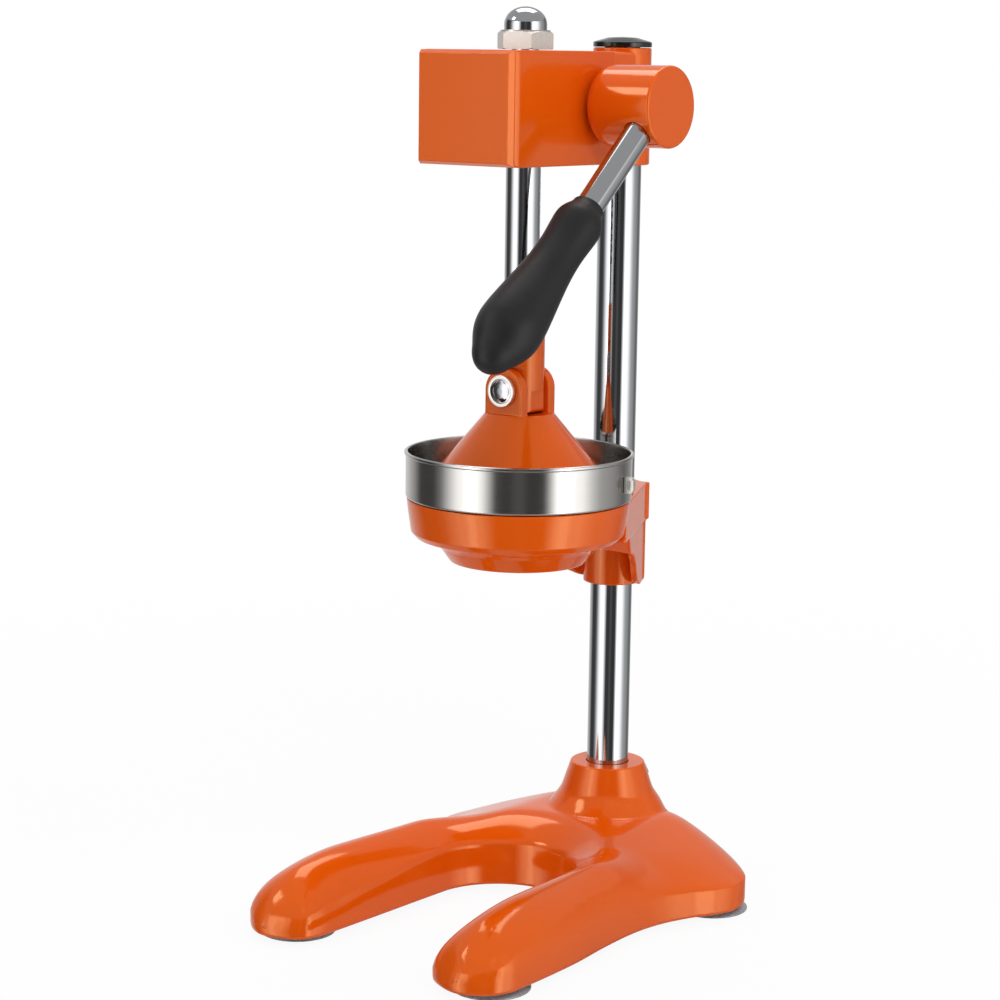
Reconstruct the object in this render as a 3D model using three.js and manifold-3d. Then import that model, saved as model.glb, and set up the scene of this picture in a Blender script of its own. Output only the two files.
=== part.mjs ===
// Lever citrus juice press. A cast stand with a U-shaped base carries a chromed column. On the
// column sit a juice funnel, with its strainer cup and reamer, and a rack-and-pinion head whose
// side lever lowers and lifts the pusher bell.
//
// Millimetres, +Z up. The front, with the open side of the base and the lever, is towards -Y.
// Inside the press x = y = 0 is the ram axis and z = 0 the lower edge of the base casting. The
// whole press is then moved so that its origin is the middle of its footprint, on the table.

import * as THREE from 'three';
import { mergeVertices } from 'three/addons/utils/BufferGeometryUtils.js';
import Module from 'manifold-3d';

const wasm = await Module();
wasm.setup();

// Sizes shared by several pieces
const gap = 0.3; // clearance between two pieces that touch
const overrun = 3; // how far a cutting tool runs past the face it cuts
const throat = 84; // ram axis to column axis
const columnRadius = 11.45;
const columnWall = 1.5;
const wall = 4; // wall of the castings

// Base casting
const baseHalfWidth = 98.8;
const toeReach = 127.2; // ram axis forward to the tips of the two legs
const heelOverhang = 38; // column axis back to the rear edge
const bayRadius = 38.5; // half the width of the bay between the legs
const bayCentre = 11; // centre of the bay's round end, in front of the ram axis
// Places across a leg, as shares of the way from the bay's side to the widest line.
const toeCentreShare = 0.423; // middle of the leg's tip
const frontFootShare = 0.4395; // axis of the front foot
const baseCrown = 37.5; // highest level of the rounded top
const outerSkirt = 14; // upright part of the outer wall
const innerSkirt = 24; // upright part of the wall round the bay
const innerSkirtLevel = 20; // it stays level up to here, in front of the ram axis
const innerSkirtFall = 0.145; // and falls by this share of the length from there
const toeLength = 60; // length of the legs' tips over which the top rounds down
const toeDrop = 12; // how far the crown falls there
const toeSkirtLoss = 0.6; // share of the walls' upright part lost at the very tip
const shoulder = 31; // distance over which the top rounds down to the edge
const shoulderPower = 1.6;
const wingStart = 36; // the rear wings slope down outside this half width
const wingSlope = 0.34;
const wingBlendFront = 10; // the slope fades in from here in front of the ram axis
const wingBlendRear = 40; // and is full from here behind it
const collarHeight = 62;
const collarTopRadius = 20.4;
const collarWaistRadius = 25.5;
const collarWaistDrop = 15;
const columnSeat = 10; // level of the column's lower end
const seatFloor = 5; // metal under the column
const columnBossRadius = 19;
const baseBoltDrop = 13; // collar top down to the clamp bolt
const baseBoltSeat = 27.4; // column axis to the bolt's seat
const footBossRadius = 7.5;

// Suction feet
const footHeight = 4; // visible height under the casting
const footRadius = 20;
const footLipInner = 15.5;
const footNeckRadius = 12;
const footDish = 2; // hollow under the foot
const footStemRadius = 3;
const footStemLength = 12;
const footHoleClearance = 0.4;
const frontFootBack = 28.2; // a leg's tip back to the foot's axis
const rearFootIn = 20.8; // widest line of the casting in to the foot's axis
const rearFootForward = 48; // rear edge forward to the foot's axis

// Funnel casting, its levels measured down from its rim
const funnelRim = 221; // level of the rim above the base's lower edge
const funnelRadius = 58.6;
const funnelLip = 3.3; // width of the rim round the strainer's seat
const funnelDepth = 33.5;
const outletRadius = 14;
const bracketDrop = 1.5; // rim down to the bracket's deck
const bandDrop = 22; // rim down to the lower edge of the bracket's band
const bandStep = 1.2; // the bracket's body stands back this far below the band
const bracketDepth = 59; // rim down to the bottom of the column boss
const bracketHalfWidth = 17; // at its rear
const bracketRear = 13; // column axis to its rear face
const bracketCorner = 4; // straight rear end of its side walls
const bracketLowFront = 44; // where its body begins, behind the ram axis
const bracketHollowFront = 55;
const boltBossWall = 3.75; // metal round the column
const funnelBoltDrop = 33;

// Strainer cup and reamer
const strainerOverhang = 0.6; // its wall stands outside the funnel's rim by this
const strainerHeight = 24.6; // above the funnel's rim
const strainerSheet = 1.2;
const strainerFoot = 6.4; // depth of the part that drops into the funnel
const strainerBead = 0.8; // how far the rolled edge stands out
const strainerBeadHeight = 2;
const strainerHoleRadius = 1.6;
// Rings of holes in its floor: shares of the way from the reamer's edge to the cup's wall.
const strainerRingShares = [0.29, 0.75];
const strainerRingHoles = [21, 27];
const reamerRadius = 31;
const reamerHeight = 37.5;
const reamerRibs = 12;
const reamerGroove = 2.6;
const reamerSkirt = 2;
const spigotRadius = 6;
const spigotLength = 5;
const lugHeight = 8.5;
const lugReach = 5;
const lugThickness = 3;
const lugHole = 1.5;
const lugLevel = 11.4; // middle of the lug above the funnel's rim
const lugBearing = 15; // degrees from +X towards the rear

// Head casting, its levels measured up from its underside
const headLevel = 394.4; // underside of the head above the base's lower edge
const headHalfWidth = 30.4;
const headFront = 45.4; // ram axis to the casting's open front
const headRear = 37.6; // ram axis to the box's rear face
const headEdge = 1.6; // bevel along the upright edges
const neckHollowHalfWidth = 11.5;
const neckHollowEnd = 49;
const headCollarWall = 3.85; // metal round the column
const headCollarBelow = 2.2; // the collar reaches this far under the head
const headCollarAbove = 2.1; // and this far over it
const headBoltLevel = 28;
const headBoltPad = 1.9; // the bolt's seat stands outside the collar by this
const coverThickness = 4;
const coverSpigot = 3;
const ramBossWall = 1.7; // metal round the ram's bushes
const shaftBossWall = 3.2; // metal round the shaft's bushes

// Rack and pinion
const gearModule = 2;
const pinionTeeth = 19;
const pressureAngle = THREE.MathUtils.degToRad(20);
const tipShorten = 0.15; // the pinion's tips stop this far short of the full height
const backlash = 0.4;
const pinionHalfWidth = 9;
const pinionFootroom = 5.35; // from the pinion's tips down to the head's floor
const pinionHeadroom = 2.45; // and up to its roof
const pinionClearance = 0.6; // from the pinion's tips to the bosses round the ram
const pinionEndRoom = 2.5; // from the pinion's ends to the shaft's bushes
const toothDepthShare = 1.25; // pitch line to the root of a tooth, in modules
const ramRadius = 9;
const ramPitchPlane = 7; // pitch line of the rack, behind the ram axis
const rackSpacesBelow = 14; // tooth spaces under the one at the pinion's level
const rackSpacesAbove = 2;

// Shaft, bushes, key and retainers
const shaftRadius = 8;
const bushWall = 2.2;
const bushFlangeWidth = 3;
const bushFlange = 1.3;
const bushInset = 0.5; // the bush stands this far out of its boss, inside the head
const shaftWeb = 2.05; // shaft's end to the rod, inside the hub
const keyWidth = 5;
const keyHalfLength = 8;
const washerWidth = 4.2;
const washerThickness = 1.3;
const ringThickness = 1.2;
const ringWidth = 3; // a retaining ring stands outside its shaft by this
const ringSlot = 4;
const grooveDepth = 0.9;
const shaftStub = 2; // shaft left outside the retaining ring

// Lever
const hubRadius = 20.7;
const hubLength = 41;
const hubFillet = 7;
const hubChamfer = 1.2;
const rodOffset = 10.15; // rod axis in from the hub's outer face
const rodRadius = 7.1;
const rodStart = 4; // inner end of the rod from the hub's axis
const leverAngle = THREE.MathUtils.degToRad(48.09); // rest position, from straight down
const gripStart = 72.9;
const gripLength = 108.5;
const gripEndWall = 16.4; // rod's end to the grip's tip
const gripRadius = 16.6;
const grubRadius = 3;
const grubSocketRadius = 1.7;
const grubSocketDepth = 3;
const grubSink = 2.5; // below the hub's surface
const grubOffset = 11.7; // from the hub's inner face

// Ram
const nutSeat = 0.4; // nut over the head, with the ram fully down
const nutFlats = 26;
const nutHexHeight = 9;
const nutHeight = 21.5;
const nutDomeRadius = 11;
const nutTurn = THREE.MathUtils.degToRad(20);
const studRadius = 7;
const studLength = 13;
const studRoof = 1; // air over the stud inside the nut

// Ram socket, pivot pin and pusher bell, levels measured from the pin
const bellClearance = 8.4; // reamer's tip to the inside of the roof, with the ram fully down
const socketWall = 3.2;
const socketTop = 33.5;
const socketRound = 11.5; // radius of its lower end, round the pin
const socketFlatTop = 13; // the flats between the ears end here
const socketBoreDepth = 20;
const socketChamfer = 1;
const earHalfWidth = 11.5;
const earInner = 8.75; // inner face of an ear from the ram axis
const earThickness = 5.5;
const pinRadius = 5;
const pinWasherRadius = 8.3;
const pinWasherRim = 1;
const pinWasherPlate = 0.8;
const pinWasherHeight = 2;
const pinHeadDome = 0.9;
const pinDomeShare = 0.75; // height of the dome half way out
const pinRingThickness = 1.2;
const pinStub = 1.2;
const bellRadius = 43.5;
const bellDepth = 50.5; // pin down to the bell's rim
const bellWall = 4;
const bellTop = 10; // pin down to the bell's top
const bellRoofWall = 4.2; // metal under the trough
const bellSlopeShare = 1.6; // the side wall at the shoulder, measured level, in walls
const bellRoofRadius = 16;
const troughClearance = 0.8;

// Column cap
const capOverhang = 0.1; // the cap stands outside the head's collar by this
const capRim = 3;
const capDome = 2.4;
const capEdge = 0.8;
const capPlug = 8;
const columnShort = 1; // the tube ends this far below the head's collar

// Clamp bolts
const boltRadius = 3;
const boltFlats = 9.5;
const boltHeadHeight = 5.3;
const boltPadRadius = 7.5;

// Facets
const wideSides = 40;
const roundSides = 20;
const smallSides = 12;
const holeSides = 6;
const cornerSteps = 4;
const earSteps = 10;
const stepsPerKnot = 2;
const baseColumns = 7;
const coreColumns = 4;

// Looks
const paint = { color: 0xe1581a, roughness: 0.22, metalness: 0 };
const chrome = { color: 0xd6d7d9, roughness: 0.08, metalness: 1 };
const steel = { color: 0xb9b7b3, roughness: 0.3, metalness: 1 };
const bronze = { color: 0xa9793a, roughness: 0.4, metalness: 1 };
const blackGloss = { color: 0x16181a, roughness: 0.18, metalness: 0 };
const blackGrip = { color: 0x28282a, roughness: 0.55, metalness: 0 };
const clearGrey = { color: 0x9da3a8, roughness: 0.35, metalness: 0 };
const alloy = { color: 0xc3c4c5, roughness: 0.35, metalness: 1 };

// Making and joining shapes

// A closed solid from a geometry: welded, without flat triangles, its faces pointing out.
function solid(shape) {
  if (!shape.isBufferGeometry) {
    return shape;
  }
  const bare = new THREE.BufferGeometry();
  bare.setAttribute('position', shape.getAttribute('position'));
  bare.setIndex(shape.getIndex());
  const welded = mergeVertices(bare);
  const points = welded.getAttribute('position');
  const index = welded.getIndex().array;
  const corner = [new THREE.Vector3(), new THREE.Vector3(), new THREE.Vector3()];
  const triangles = [];
  let volume = 0;
  for (let i = 0; i < index.length; i += 3) {
    const [a, b, c] = [index[i], index[i + 1], index[i + 2]];
    if (a === b || b === c || c === a) {
      continue;
    }
    triangles.push([a, b, c]);
    corner[0].fromBufferAttribute(points, a);
    corner[1].fromBufferAttribute(points, b);
    corner[2].fromBufferAttribute(points, c);
    volume += corner[0].dot(corner[1].cross(corner[2]));
  }
  const turnedRight = triangles.map(([a, b, c]) => (volume > 0 ? [a, b, c] : [a, c, b]));
  return new wasm.Manifold(
    new wasm.Mesh({
      numProp: 3,
      vertProperties: new Float32Array(points.array),
      triVerts: new Uint32Array(turnedRight.flat()),
    }),
  );
}

const join = (first, ...others) => others.reduce((sum, other) => sum.add(solid(other)), solid(first));

const cut = (first, ...tools) => tools.reduce((rest, tool) => rest.subtract(solid(tool)), solid(first));

const common = (first, second) => solid(first).intersect(solid(second));

// Adds a named piece to a group of the scene.
function piece(parent, name, body, look) {
  const mesh = solid(body).getMesh();
  const geometry = new THREE.BufferGeometry();
  geometry.setAttribute('position', new THREE.BufferAttribute(new Float32Array(mesh.vertProperties), 3));
  geometry.setIndex(new THREE.BufferAttribute(new Uint32Array(mesh.triVerts), 1));
  geometry.computeVertexNormals();
  const node = new THREE.Mesh(geometry, new THREE.MeshStandardMaterial(look));
  node.name = name;
  parent.add(node);
  return node;
}

function group(parent, x, y, z) {
  const made = new THREE.Group();
  made.position.set(x, y, z);
  parent.add(made);
  return made;
}

// A body of revolution about Z from points [radius, height].
function turned(profile, sides) {
  const onAxis = profile[0][0] === 0 && profile.at(-1)[0] === 0;
  const run = onAxis ? profile : [...profile, profile[0]];
  const geometry = new THREE.LatheGeometry(run.map(([r, h]) => new THREE.Vector2(r, h)), sides);
  return geometry.rotateX(Math.PI / 2);
}

const cylinder = (radius, low, high, sides) =>
  turned([[0, low], [radius, low], [radius, high], [0, high]], sides);

const tube = (inner, outer, low, high, sides) =>
  turned([[inner, low], [outer, low], [outer, high], [inner, high]], sides);

// An outline [x, y] drawn up from one level to another.
function prism(outline, low, high) {
  const shape = new THREE.Shape(outline.map(([x, y]) => new THREE.Vector2(x, y)));
  const geometry = new THREE.ExtrudeGeometry(shape, { depth: high - low, bevelEnabled: false });
  return geometry.translate(0, 0, low);
}

const box = (x0, x1, y0, y1, z0, z1) => prism([[x0, y0], [x1, y0], [x1, y1], [x0, y1]], z0, z1);

// Turns a shape made along Z so that it runs along X or along -Y.
const alongX = (geometry) => geometry.rotateY(Math.PI / 2);
const alongFront = (geometry) => geometry.rotateX(Math.PI / 2);

// An outline [y, z] drawn across from one x to another.
function sideSlab(outline, x0, x1) {
  const basis = new THREE.Matrix4().makeBasis(
    new THREE.Vector3(0, 1, 0),
    new THREE.Vector3(0, 0, 1),
    new THREE.Vector3(1, 0, 0),
  );
  return prism(outline, x0, x1).applyMatrix4(basis);
}

// A regular hexagon by its distance across flats.
function hexagon(flats) {
  const corner = flats / 2 / Math.cos(Math.PI / 6);
  return [0, 1, 2, 3, 4, 5].map((k) => [
    corner * Math.cos((k * Math.PI) / 3),
    corner * Math.sin((k * Math.PI) / 3),
  ]);
}

// Points on an arc [centre u, centre v, radius] between two angles in degrees, ends included.
function arc(u, v, radius, from, to, steps) {
  const points = [];
  for (let k = 0; k <= steps; k += 1) {
    const angle = THREE.MathUtils.degToRad(from + ((to - from) * k) / steps);
    points.push([u + radius * Math.cos(angle), v + radius * Math.sin(angle)]);
  }
  return points;
}

const press = new THREE.Group();
const heelReach = throat + heelOverhang;
const toeCentre = THREE.MathUtils.lerp(bayRadius, baseHalfWidth, toeCentreShare);
press.position.set(0, (toeReach - heelReach) / 2, footHeight);

const borePlay = columnRadius + gap;
const collarRadius = borePlay + headCollarWall;

// Rack and pinion: the head's height follows from them.
const pitchRadius = (gearModule * pinionTeeth) / 2;
const tipRadius = pitchRadius + gearModule - tipShorten;
const rootRadius = pitchRadius - toothDepthShare * gearModule;
const pinionY = ramPitchPlane + pitchRadius;
const pinionLevel = wall + pinionFootroom + tipRadius;
const headHeight = pinionLevel + tipRadius + pinionHeadroom + wall;
const ramBushRadius = ramRadius + gap + bushWall;
const shaftBushRadius = shaftRadius + gap + bushWall;
const ramBossRadius = ramBushRadius + gap + ramBossWall;
const pinionReach = Math.sqrt(tipRadius ** 2 - (pinionY - ramBossRadius) ** 2);
const ramBossHeight = tipRadius - pinionReach + pinionHeadroom - pinionClearance;
const shaftBossRadius = shaftBushRadius + gap + shaftBossWall;
const shaftBossInner = pinionHalfWidth + pinionEndRoom + bushInset;

// Levels of the reamer and of the pivot pin, which is carried over it.
const reamerFoot = strainerSheet - strainerFoot + gap;
const bellRoof = socketRound + troughClearance + bellRoofWall;
const pinLevel = funnelRim + reamerFoot + reamerHeight + bellClearance + bellRoof;

// Base casting

// Outer edge of the right half, from the rear middle to the leg's tip. Shares of the half
// width, and of the reach behind the ram axis (positive) or in front of it (negative).
const outerEdgeShares = [
  [0, 1], [0.192, 0.995], [0.385, 0.971], [0.577, 0.918], [0.739, 0.844], [0.8755, 0.754],
  [0.9666, 0.664], [1, 0.557], [0.9696, 0.4508], [0.8947, 0.336], [0.834, 0.1885],
  [0.8097, 0.0164], [0.8219, -0.1887], [0.8532, -0.4088], [0.8654, -0.5896], [0.868, -0.765],
  [0.86, -0.862], [0.8, -0.944],
];
// Inner edge of the leg, in front of the bay's round end. Shares of the way from the bay's
// side to the tip's middle, and of the reach in front.
const innerEdgeShares = [
  [0.004, -0.173], [0.012, -0.299], [0.016, -0.456], [0.024, -0.613], [0.035, -0.739],
  [0.06, -0.855], [0.27, -0.945],
];
const bayKnots = outerEdgeShares.length - innerEdgeShares.length;

const tip = new THREE.Vector2(toeCentre, -toeReach);
const outerKnots = outerEdgeShares.map(
  ([x, y]) => new THREE.Vector2(x * baseHalfWidth, y * (y > 0 ? heelReach : toeReach)),
);
const innerKnots = [
  ...arc(0, -bayCentre, bayRadius, 90, 0, bayKnots - 1).map(([x, y]) => new THREE.Vector2(x, y)),
  ...innerEdgeShares.map(
    ([x, y]) => new THREE.Vector2(bayRadius + x * (toeCentre - bayRadius), y * toeReach),
  ),
];

function rail(knots, after) {
  const before = new THREE.Vector2(-knots[1].x, knots[1].y);
  const curve = new THREE.SplineCurve([before, ...knots, tip, after]);
  const points = [];
  for (let k = 0; k <= knots.length * stepsPerKnot; k += 1) {
    points.push(curve.getPoint((1 + k / stepsPerKnot) / (knots.length + 2)));
  }
  return points;
}

const outerRail = rail(outerKnots, innerKnots.at(-1));
const innerRail = rail(innerKnots, outerKnots.at(-1));

function distanceTo(points, place) {
  const nearest = new THREE.Vector2();
  let least = Infinity;
  for (let k = 1; k < points.length; k += 1) {
    const side = points[k].clone().sub(points[k - 1]);
    const along = place.clone().sub(points[k - 1]).dot(side) / side.lengthSq();
    nearest.copy(points[k - 1]).addScaledVector(side, THREE.MathUtils.clamp(along, 0, 1));
    least = Math.min(least, nearest.distanceTo(place));
  }
  return least;
}

// Height of the rounded top at a place on the right half. The skirt's height goes from the
// outer wall's to the bay wall's with the share of the way across.
function topHeight(place, across) {
  const toe = THREE.MathUtils.clamp((toeLength - toeReach - place.y) / toeLength, 0, 1);
  const fall = innerSkirtFall * Math.max(0, -place.y - innerSkirtLevel);
  const upright = THREE.MathUtils.lerp(outerSkirt, innerSkirt - fall, across);
  const skirt = upright * (1 - toeSkirtLoss * toe * toe);
  const blend = THREE.MathUtils.smoothstep(place.y, -wingBlendFront, wingBlendRear);
  const wing = wingSlope * Math.max(0, place.x - wingStart) * blend;
  const crown = baseCrown - wing - toeDrop * toe * toe;
  const inward = Math.min(distanceTo(outerRail, place), distanceTo(innerRail, place));
  const left = 1 - Math.min(1, inward / shoulder);
  return skirt + (crown - skirt) * (1 - left ** shoulderPower) ** (1 / shoulderPower);
}

// Straight lines from an outer to an inner rail, with their heights, mirrored to the left. The
// line at a leg's tip is one place, with one height.
const halfWay = 0.5;
function crossLines(outer, inner, columns, heightOf) {
  const right = outer.map((start, k) => {
    const line = [];
    for (let j = 0; j <= columns; j += 1) {
      const across = (1 - Math.cos((Math.PI * j) / columns)) / 2;
      const place = start.clone().lerp(inner[k], across);
      const level = heightOf(place, start.equals(inner[k]) ? halfWay : across);
      line.push([place.x, place.y, level]);
    }
    return line;
  });
  const left = right.slice(1).map((line) => line.map(([x, y, z]) => [-x, y, z]));
  return [...left.reverse(), ...right];
}

// A closed shape between rows of points above and one level below.
function roofed(rows, low) {
  const corners = [];
  const triangles = [];
  const columns = rows[0].length;
  const half = rows.length * columns;
  rows.forEach((row) => row.forEach(([x, y, z]) => corners.push(x, y, z)));
  rows.forEach((row) => row.forEach(([x, y]) => corners.push(x, y, low)));
  const quad = (a, b, c, d) => triangles.push(a, b, c, a, c, d);
  const at = (i, j) => i * columns + j;
  for (let i = 1; i < rows.length; i += 1) {
    for (let j = 1; j < columns; j += 1) {
      quad(at(i - 1, j - 1), at(i - 1, j), at(i, j), at(i, j - 1));
      quad(half + at(i - 1, j - 1), half + at(i, j - 1), half + at(i, j), half + at(i - 1, j));
    }
    quad(at(i - 1, 0), at(i, 0), half + at(i, 0), half + at(i - 1, 0));
    const last = columns - 1;
    quad(at(i, last), at(i - 1, last), half + at(i - 1, last), half + at(i, last));
  }
  for (let j = 1; j < columns; j += 1) {
    const end = rows.length - 1;
    quad(at(0, j), at(0, j - 1), half + at(0, j - 1), half + at(0, j));
    quad(at(end, j - 1), at(end, j), half + at(end, j), half + at(end, j - 1));
  }
  const geometry = new THREE.BufferGeometry();
  geometry.setAttribute('position', new THREE.Float32BufferAttribute(corners, 3));
  geometry.setIndex(triangles);
  return geometry;
}

// A rail's knots moved sideways by the wall, without the one at the tip.
function inset(points, side) {
  const moved = points.slice(0, -1).map((point, k) => {
    const ahead = points[k + 1].clone();
    const behind = k > 0 ? points[k - 1] : new THREE.Vector2(-points[1].x, points[1].y);
    const run = ahead.sub(behind).normalize();
    return new THREE.Vector2(point.x + side * run.y * wall, point.y - side * run.x * wall);
  });
  return moved.filter((point, k) => k % stepsPerKnot === 0);
}

const outerLines = crossLines(outerRail, innerRail, baseColumns, topHeight);
const shellOutside = solid(roofed(outerLines, 0));
const coreLines = crossLines(
  inset(outerRail, 1),
  inset(innerRail, -1),
  coreColumns,
  (place, across) => topHeight(place, across) - wall,
);
const shellInside = roofed(coreLines, -overrun);

const frontFootX = THREE.MathUtils.lerp(bayRadius, baseHalfWidth, frontFootShare);
const frontFootY = frontFootBack - toeReach;
const rearFootX = baseHalfWidth - rearFootIn;
const rearFootY = heelReach - rearFootForward;
const footPlaces = [
  ['base_foot_front_right', frontFootX, frontFootY],
  ['base_foot_front_left', -frontFootX, frontFootY],
  ['base_foot_rear_right', rearFootX, rearFootY],
  ['base_foot_rear_left', -rearFootX, rearFootY],
];

const footBosses = footPlaces.map(([, x, y]) =>
  cylinder(footBossRadius, 0, baseCrown, smallSides).translate(x, y, 0),
);
const footHoles = footPlaces.map(([, x, y]) => {
  const depth = footStemLength - footHoleClearance;
  return cylinder(footStemRadius + gap, -overrun, depth, smallSides).translate(x, y, 0);
});
const columnBoss = cylinder(columnBossRadius, seatFloor, baseCrown, roundSides).translate(0, throat, 0);
const bosses = common(join(columnBoss, ...footBosses), shellOutside);

// The collar's flare under its waist, as shares of the way out to the rear edge and of the way
// down from the waist.
const flareShares = [[0.22, 0.12], [0.4, 0.22], [0.56, 0.36], [0.7, 0.55], [0.8, 0.78], [0.85, 1]];
const waistLevel = collarHeight - collarWaistDrop;
const collar = turned(
  [
    [0, outerSkirt],
    ...flareShares
      .map(([out, down]) => [
        THREE.MathUtils.lerp(collarWaistRadius, heelOverhang - gap, out),
        THREE.MathUtils.lerp(waistLevel, outerSkirt, down),
      ])
      .reverse(),
    [collarWaistRadius, waistLevel],
    [collarTopRadius, collarHeight],
    [0, collarHeight],
  ],
  wideSides,
).translate(0, throat, 0);

const baseBoltLevel = collarHeight - baseBoltDrop;

// Pad and hole for a clamp bolt that points forward through the rear of a column collar.
const boltPad = (level, seat) =>
  alongFront(cylinder(boltPadRadius, -seat, 0, smallSides)).translate(0, throat, level);
const boltHole = (level, seat) =>
  alongFront(cylinder(boltRadius + gap, -seat - overrun, 0, smallSides)).translate(0, throat, level);

piece(
  press,
  'base_casting',
  cut(
    join(
      cut(join(shellOutside, collar), shellInside),
      bosses,
      boltPad(baseBoltLevel, baseBoltSeat),
    ),
    cylinder(borePlay, columnSeat - gap, collarHeight + overrun, roundSides).translate(0, throat, 0),
    boltHole(baseBoltLevel, baseBoltSeat),
    ...footHoles,
  ),
  paint,
);

// Feet

const footShape = turned(
  [
    [0, -footDish],
    [footNeckRadius, -footDish],
    [footLipInner, -footHeight],
    [footRadius, -footHeight],
    [footRadius, -footHeight + footDish / 2],
    [footNeckRadius, -gap],
    [footStemRadius, -gap],
    [footStemRadius, footStemLength - footHoleClearance - gap],
    [0, footStemLength - footHoleClearance - gap],
  ],
  smallSides + smallSides / 2,
);
footPlaces.forEach(([name, x, y]) => {
  piece(press, name, footShape, clearGrey).position.set(x, y, 0);
});

// Column and clamp bolts

const headTop = headLevel + headHeight;
const headBoltSeat = collarRadius + headBoltPad;
const headCollarTop = headTop + headCollarAbove;
const columnTop = headCollarTop - columnShort;
piece(
  press,
  'column',
  tube(columnRadius - columnWall, columnRadius, columnSeat, columnTop, roundSides),
  chrome,
).position.set(0, throat, 0);

function clampBolt(name, level, seat) {
  const head = prism(hexagon(boltFlats), seat + gap, seat + gap + boltHeadHeight);
  const shank = cylinder(boltRadius, borePlay, seat + gap + boltHeadHeight / 2, smallSides);
  const node = piece(press, name, join(head, shank), steel);
  node.rotation.x = -Math.PI / 2;
  node.position.set(0, throat, level);
}

clampBolt('base_collar_bolt', baseBoltLevel, baseBoltSeat);
clampBolt('head_collar_bolt', headLevel + headBoltLevel, headBoltSeat);
clampBolt('funnel_clamp_bolt', funnelRim - funnelBoltDrop, bracketRear);

// Funnel casting

const bowl = group(press, 0, 0, funnelRim);
const seatRadius = funnelRadius - funnelLip;
const strainerFootRadius = seatRadius - gap;
const strainerRadius = funnelRadius + strainerOverhang;
const seatDepth = strainerFoot + gap;

// Outside of the ring and bowl: shares of its radius and depth, from the rim down.
const funnelOutsideShares = [
  [1, 0], [0.9915, 0.149], [0.976, 0.537], [0.964, 0.612], [0.93, 0.7], [0.7235, 0.857],
  [0.674, 0.955], [0.6143, 1],
];
// Inside of the bowl under the strainer's seat: shares of the seat's radius, and of the depth
// from the seat to the bowl's floor at the outlet.
const funnelInsideShares = [[1, 0], [0.991, 0.36], [0.904, 0.58], [0.687, 0.8]];
const bowlFloor = funnelDepth - wall;
const bowlProfile = [
  [outletRadius, -bowlFloor],
  ...funnelInsideShares
    .map(([out, down]) => [out * seatRadius, -THREE.MathUtils.lerp(seatDepth, bowlFloor, down)])
    .reverse(),
];
const ring = turned(
  [
    ...funnelOutsideShares.map(([out, down]) => [out * funnelRadius, -down * funnelDepth]),
    [0, -funnelDepth],
    [0, 0],
  ].reverse(),
  wideSides,
);
const bowlSpace = turned(
  [
    [0, -funnelDepth - overrun],
    [outletRadius, -funnelDepth - overrun],
    ...bowlProfile,
    [seatRadius, overrun],
    [0, overrun],
  ],
  wideSides,
);

// Plan of the bracket: straight walls from the ring, tangent to it, to the rear corners.
function bracketPlan(margin, front) {
  const ringEdge = funnelOutsideShares[2][0] * funnelRadius - margin;
  const cornerX = bracketHalfWidth - margin;
  const rear = throat + bracketRear - margin;
  const cornerY = throat + bracketRear - bracketCorner;
  const reach = Math.hypot(cornerX, cornerY);
  const bearing = Math.atan2(cornerY, cornerX) - Math.acos(ringEdge / reach);
  const tangentX = ringEdge * Math.cos(bearing);
  const tangentY = ringEdge * Math.sin(bearing);
  const share = Math.max(0, (front - tangentY) / (cornerY - tangentY));
  const frontX = THREE.MathUtils.lerp(tangentX, cornerX, share);
  const frontY = Math.max(front, tangentY);
  return [
    [frontX, frontY], [cornerX, cornerY], [cornerX, rear],
    [-cornerX, rear], [-cornerX, cornerY], [-frontX, frontY],
  ];
}

// Lower edge of the bracket's body, from its front to the column boss: shares of the way back
// to the column axis, and of the way down from the band to the boss's underside.
const bracketEdgeShares = [
  [0, 0], [0.15, 0.3], [0.45, 0.405], [0.6, 0.57], [0.675, 0.73], [0.775, 0.89], [0.9, 0.97], [1, 1],
];
const bracketBottom = -bracketDepth;
const bodyRear = throat + bracketRear + overrun;
const bracketSide = [
  ...bracketEdgeShares.map(([back, down]) => [
    THREE.MathUtils.lerp(bracketLowFront, throat, back),
    THREE.MathUtils.lerp(-bandDrop, bracketBottom, down),
  ]),
  ...arc(
    throat + bracketRear - bracketCorner - bandStep,
    bracketBottom + bracketCorner,
    bracketCorner,
    270,
    360,
    smallSides / 4,
  ),
  [throat + bracketRear - bandStep, -bandDrop],
];
const bandPart = prism(bracketPlan(0, 0), -bandDrop, -bracketDrop);
const bodyPart = common(
  prism(bracketPlan(bandStep, bracketLowFront), bracketBottom - overrun, -bandDrop + gap),
  sideSlab(
    [...bracketSide, [throat + bracketRear - bandStep, 0], [bracketLowFront, 0]],
    -funnelRadius,
    funnelRadius,
  ),
);
const hollow = prism(
  bracketPlan(wall + bandStep, bracketHollowFront),
  bracketBottom - overrun,
  -bracketDrop - wall,
);
const boltBoss = cylinder(borePlay + boltBossWall, bracketBottom, -bracketDrop, roundSides)
  .translate(0, throat, 0);
const funnelBoltHole = boltHole(-funnelBoltDrop, bracketRear);
const bracket = join(cut(join(bandPart, bodyPart), hollow), boltBoss);
const rearTrim = box(
  -bracketHalfWidth, bracketHalfWidth,
  throat + bracketRear - bandStep, bodyRear,
  bracketBottom - overrun, -bandDrop,
);
piece(
  bowl,
  'funnel_casting',
  cut(
    join(ring, cut(bracket, rearTrim), boltPad(-funnelBoltDrop, bracketRear)),
    bowlSpace,
    cylinder(borePlay, bracketBottom - overrun, overrun, roundSides).translate(0, throat, 0),
    funnelBoltHole,
  ),
  paint,
);

// Strainer cup, its lug and the reamer

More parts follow.
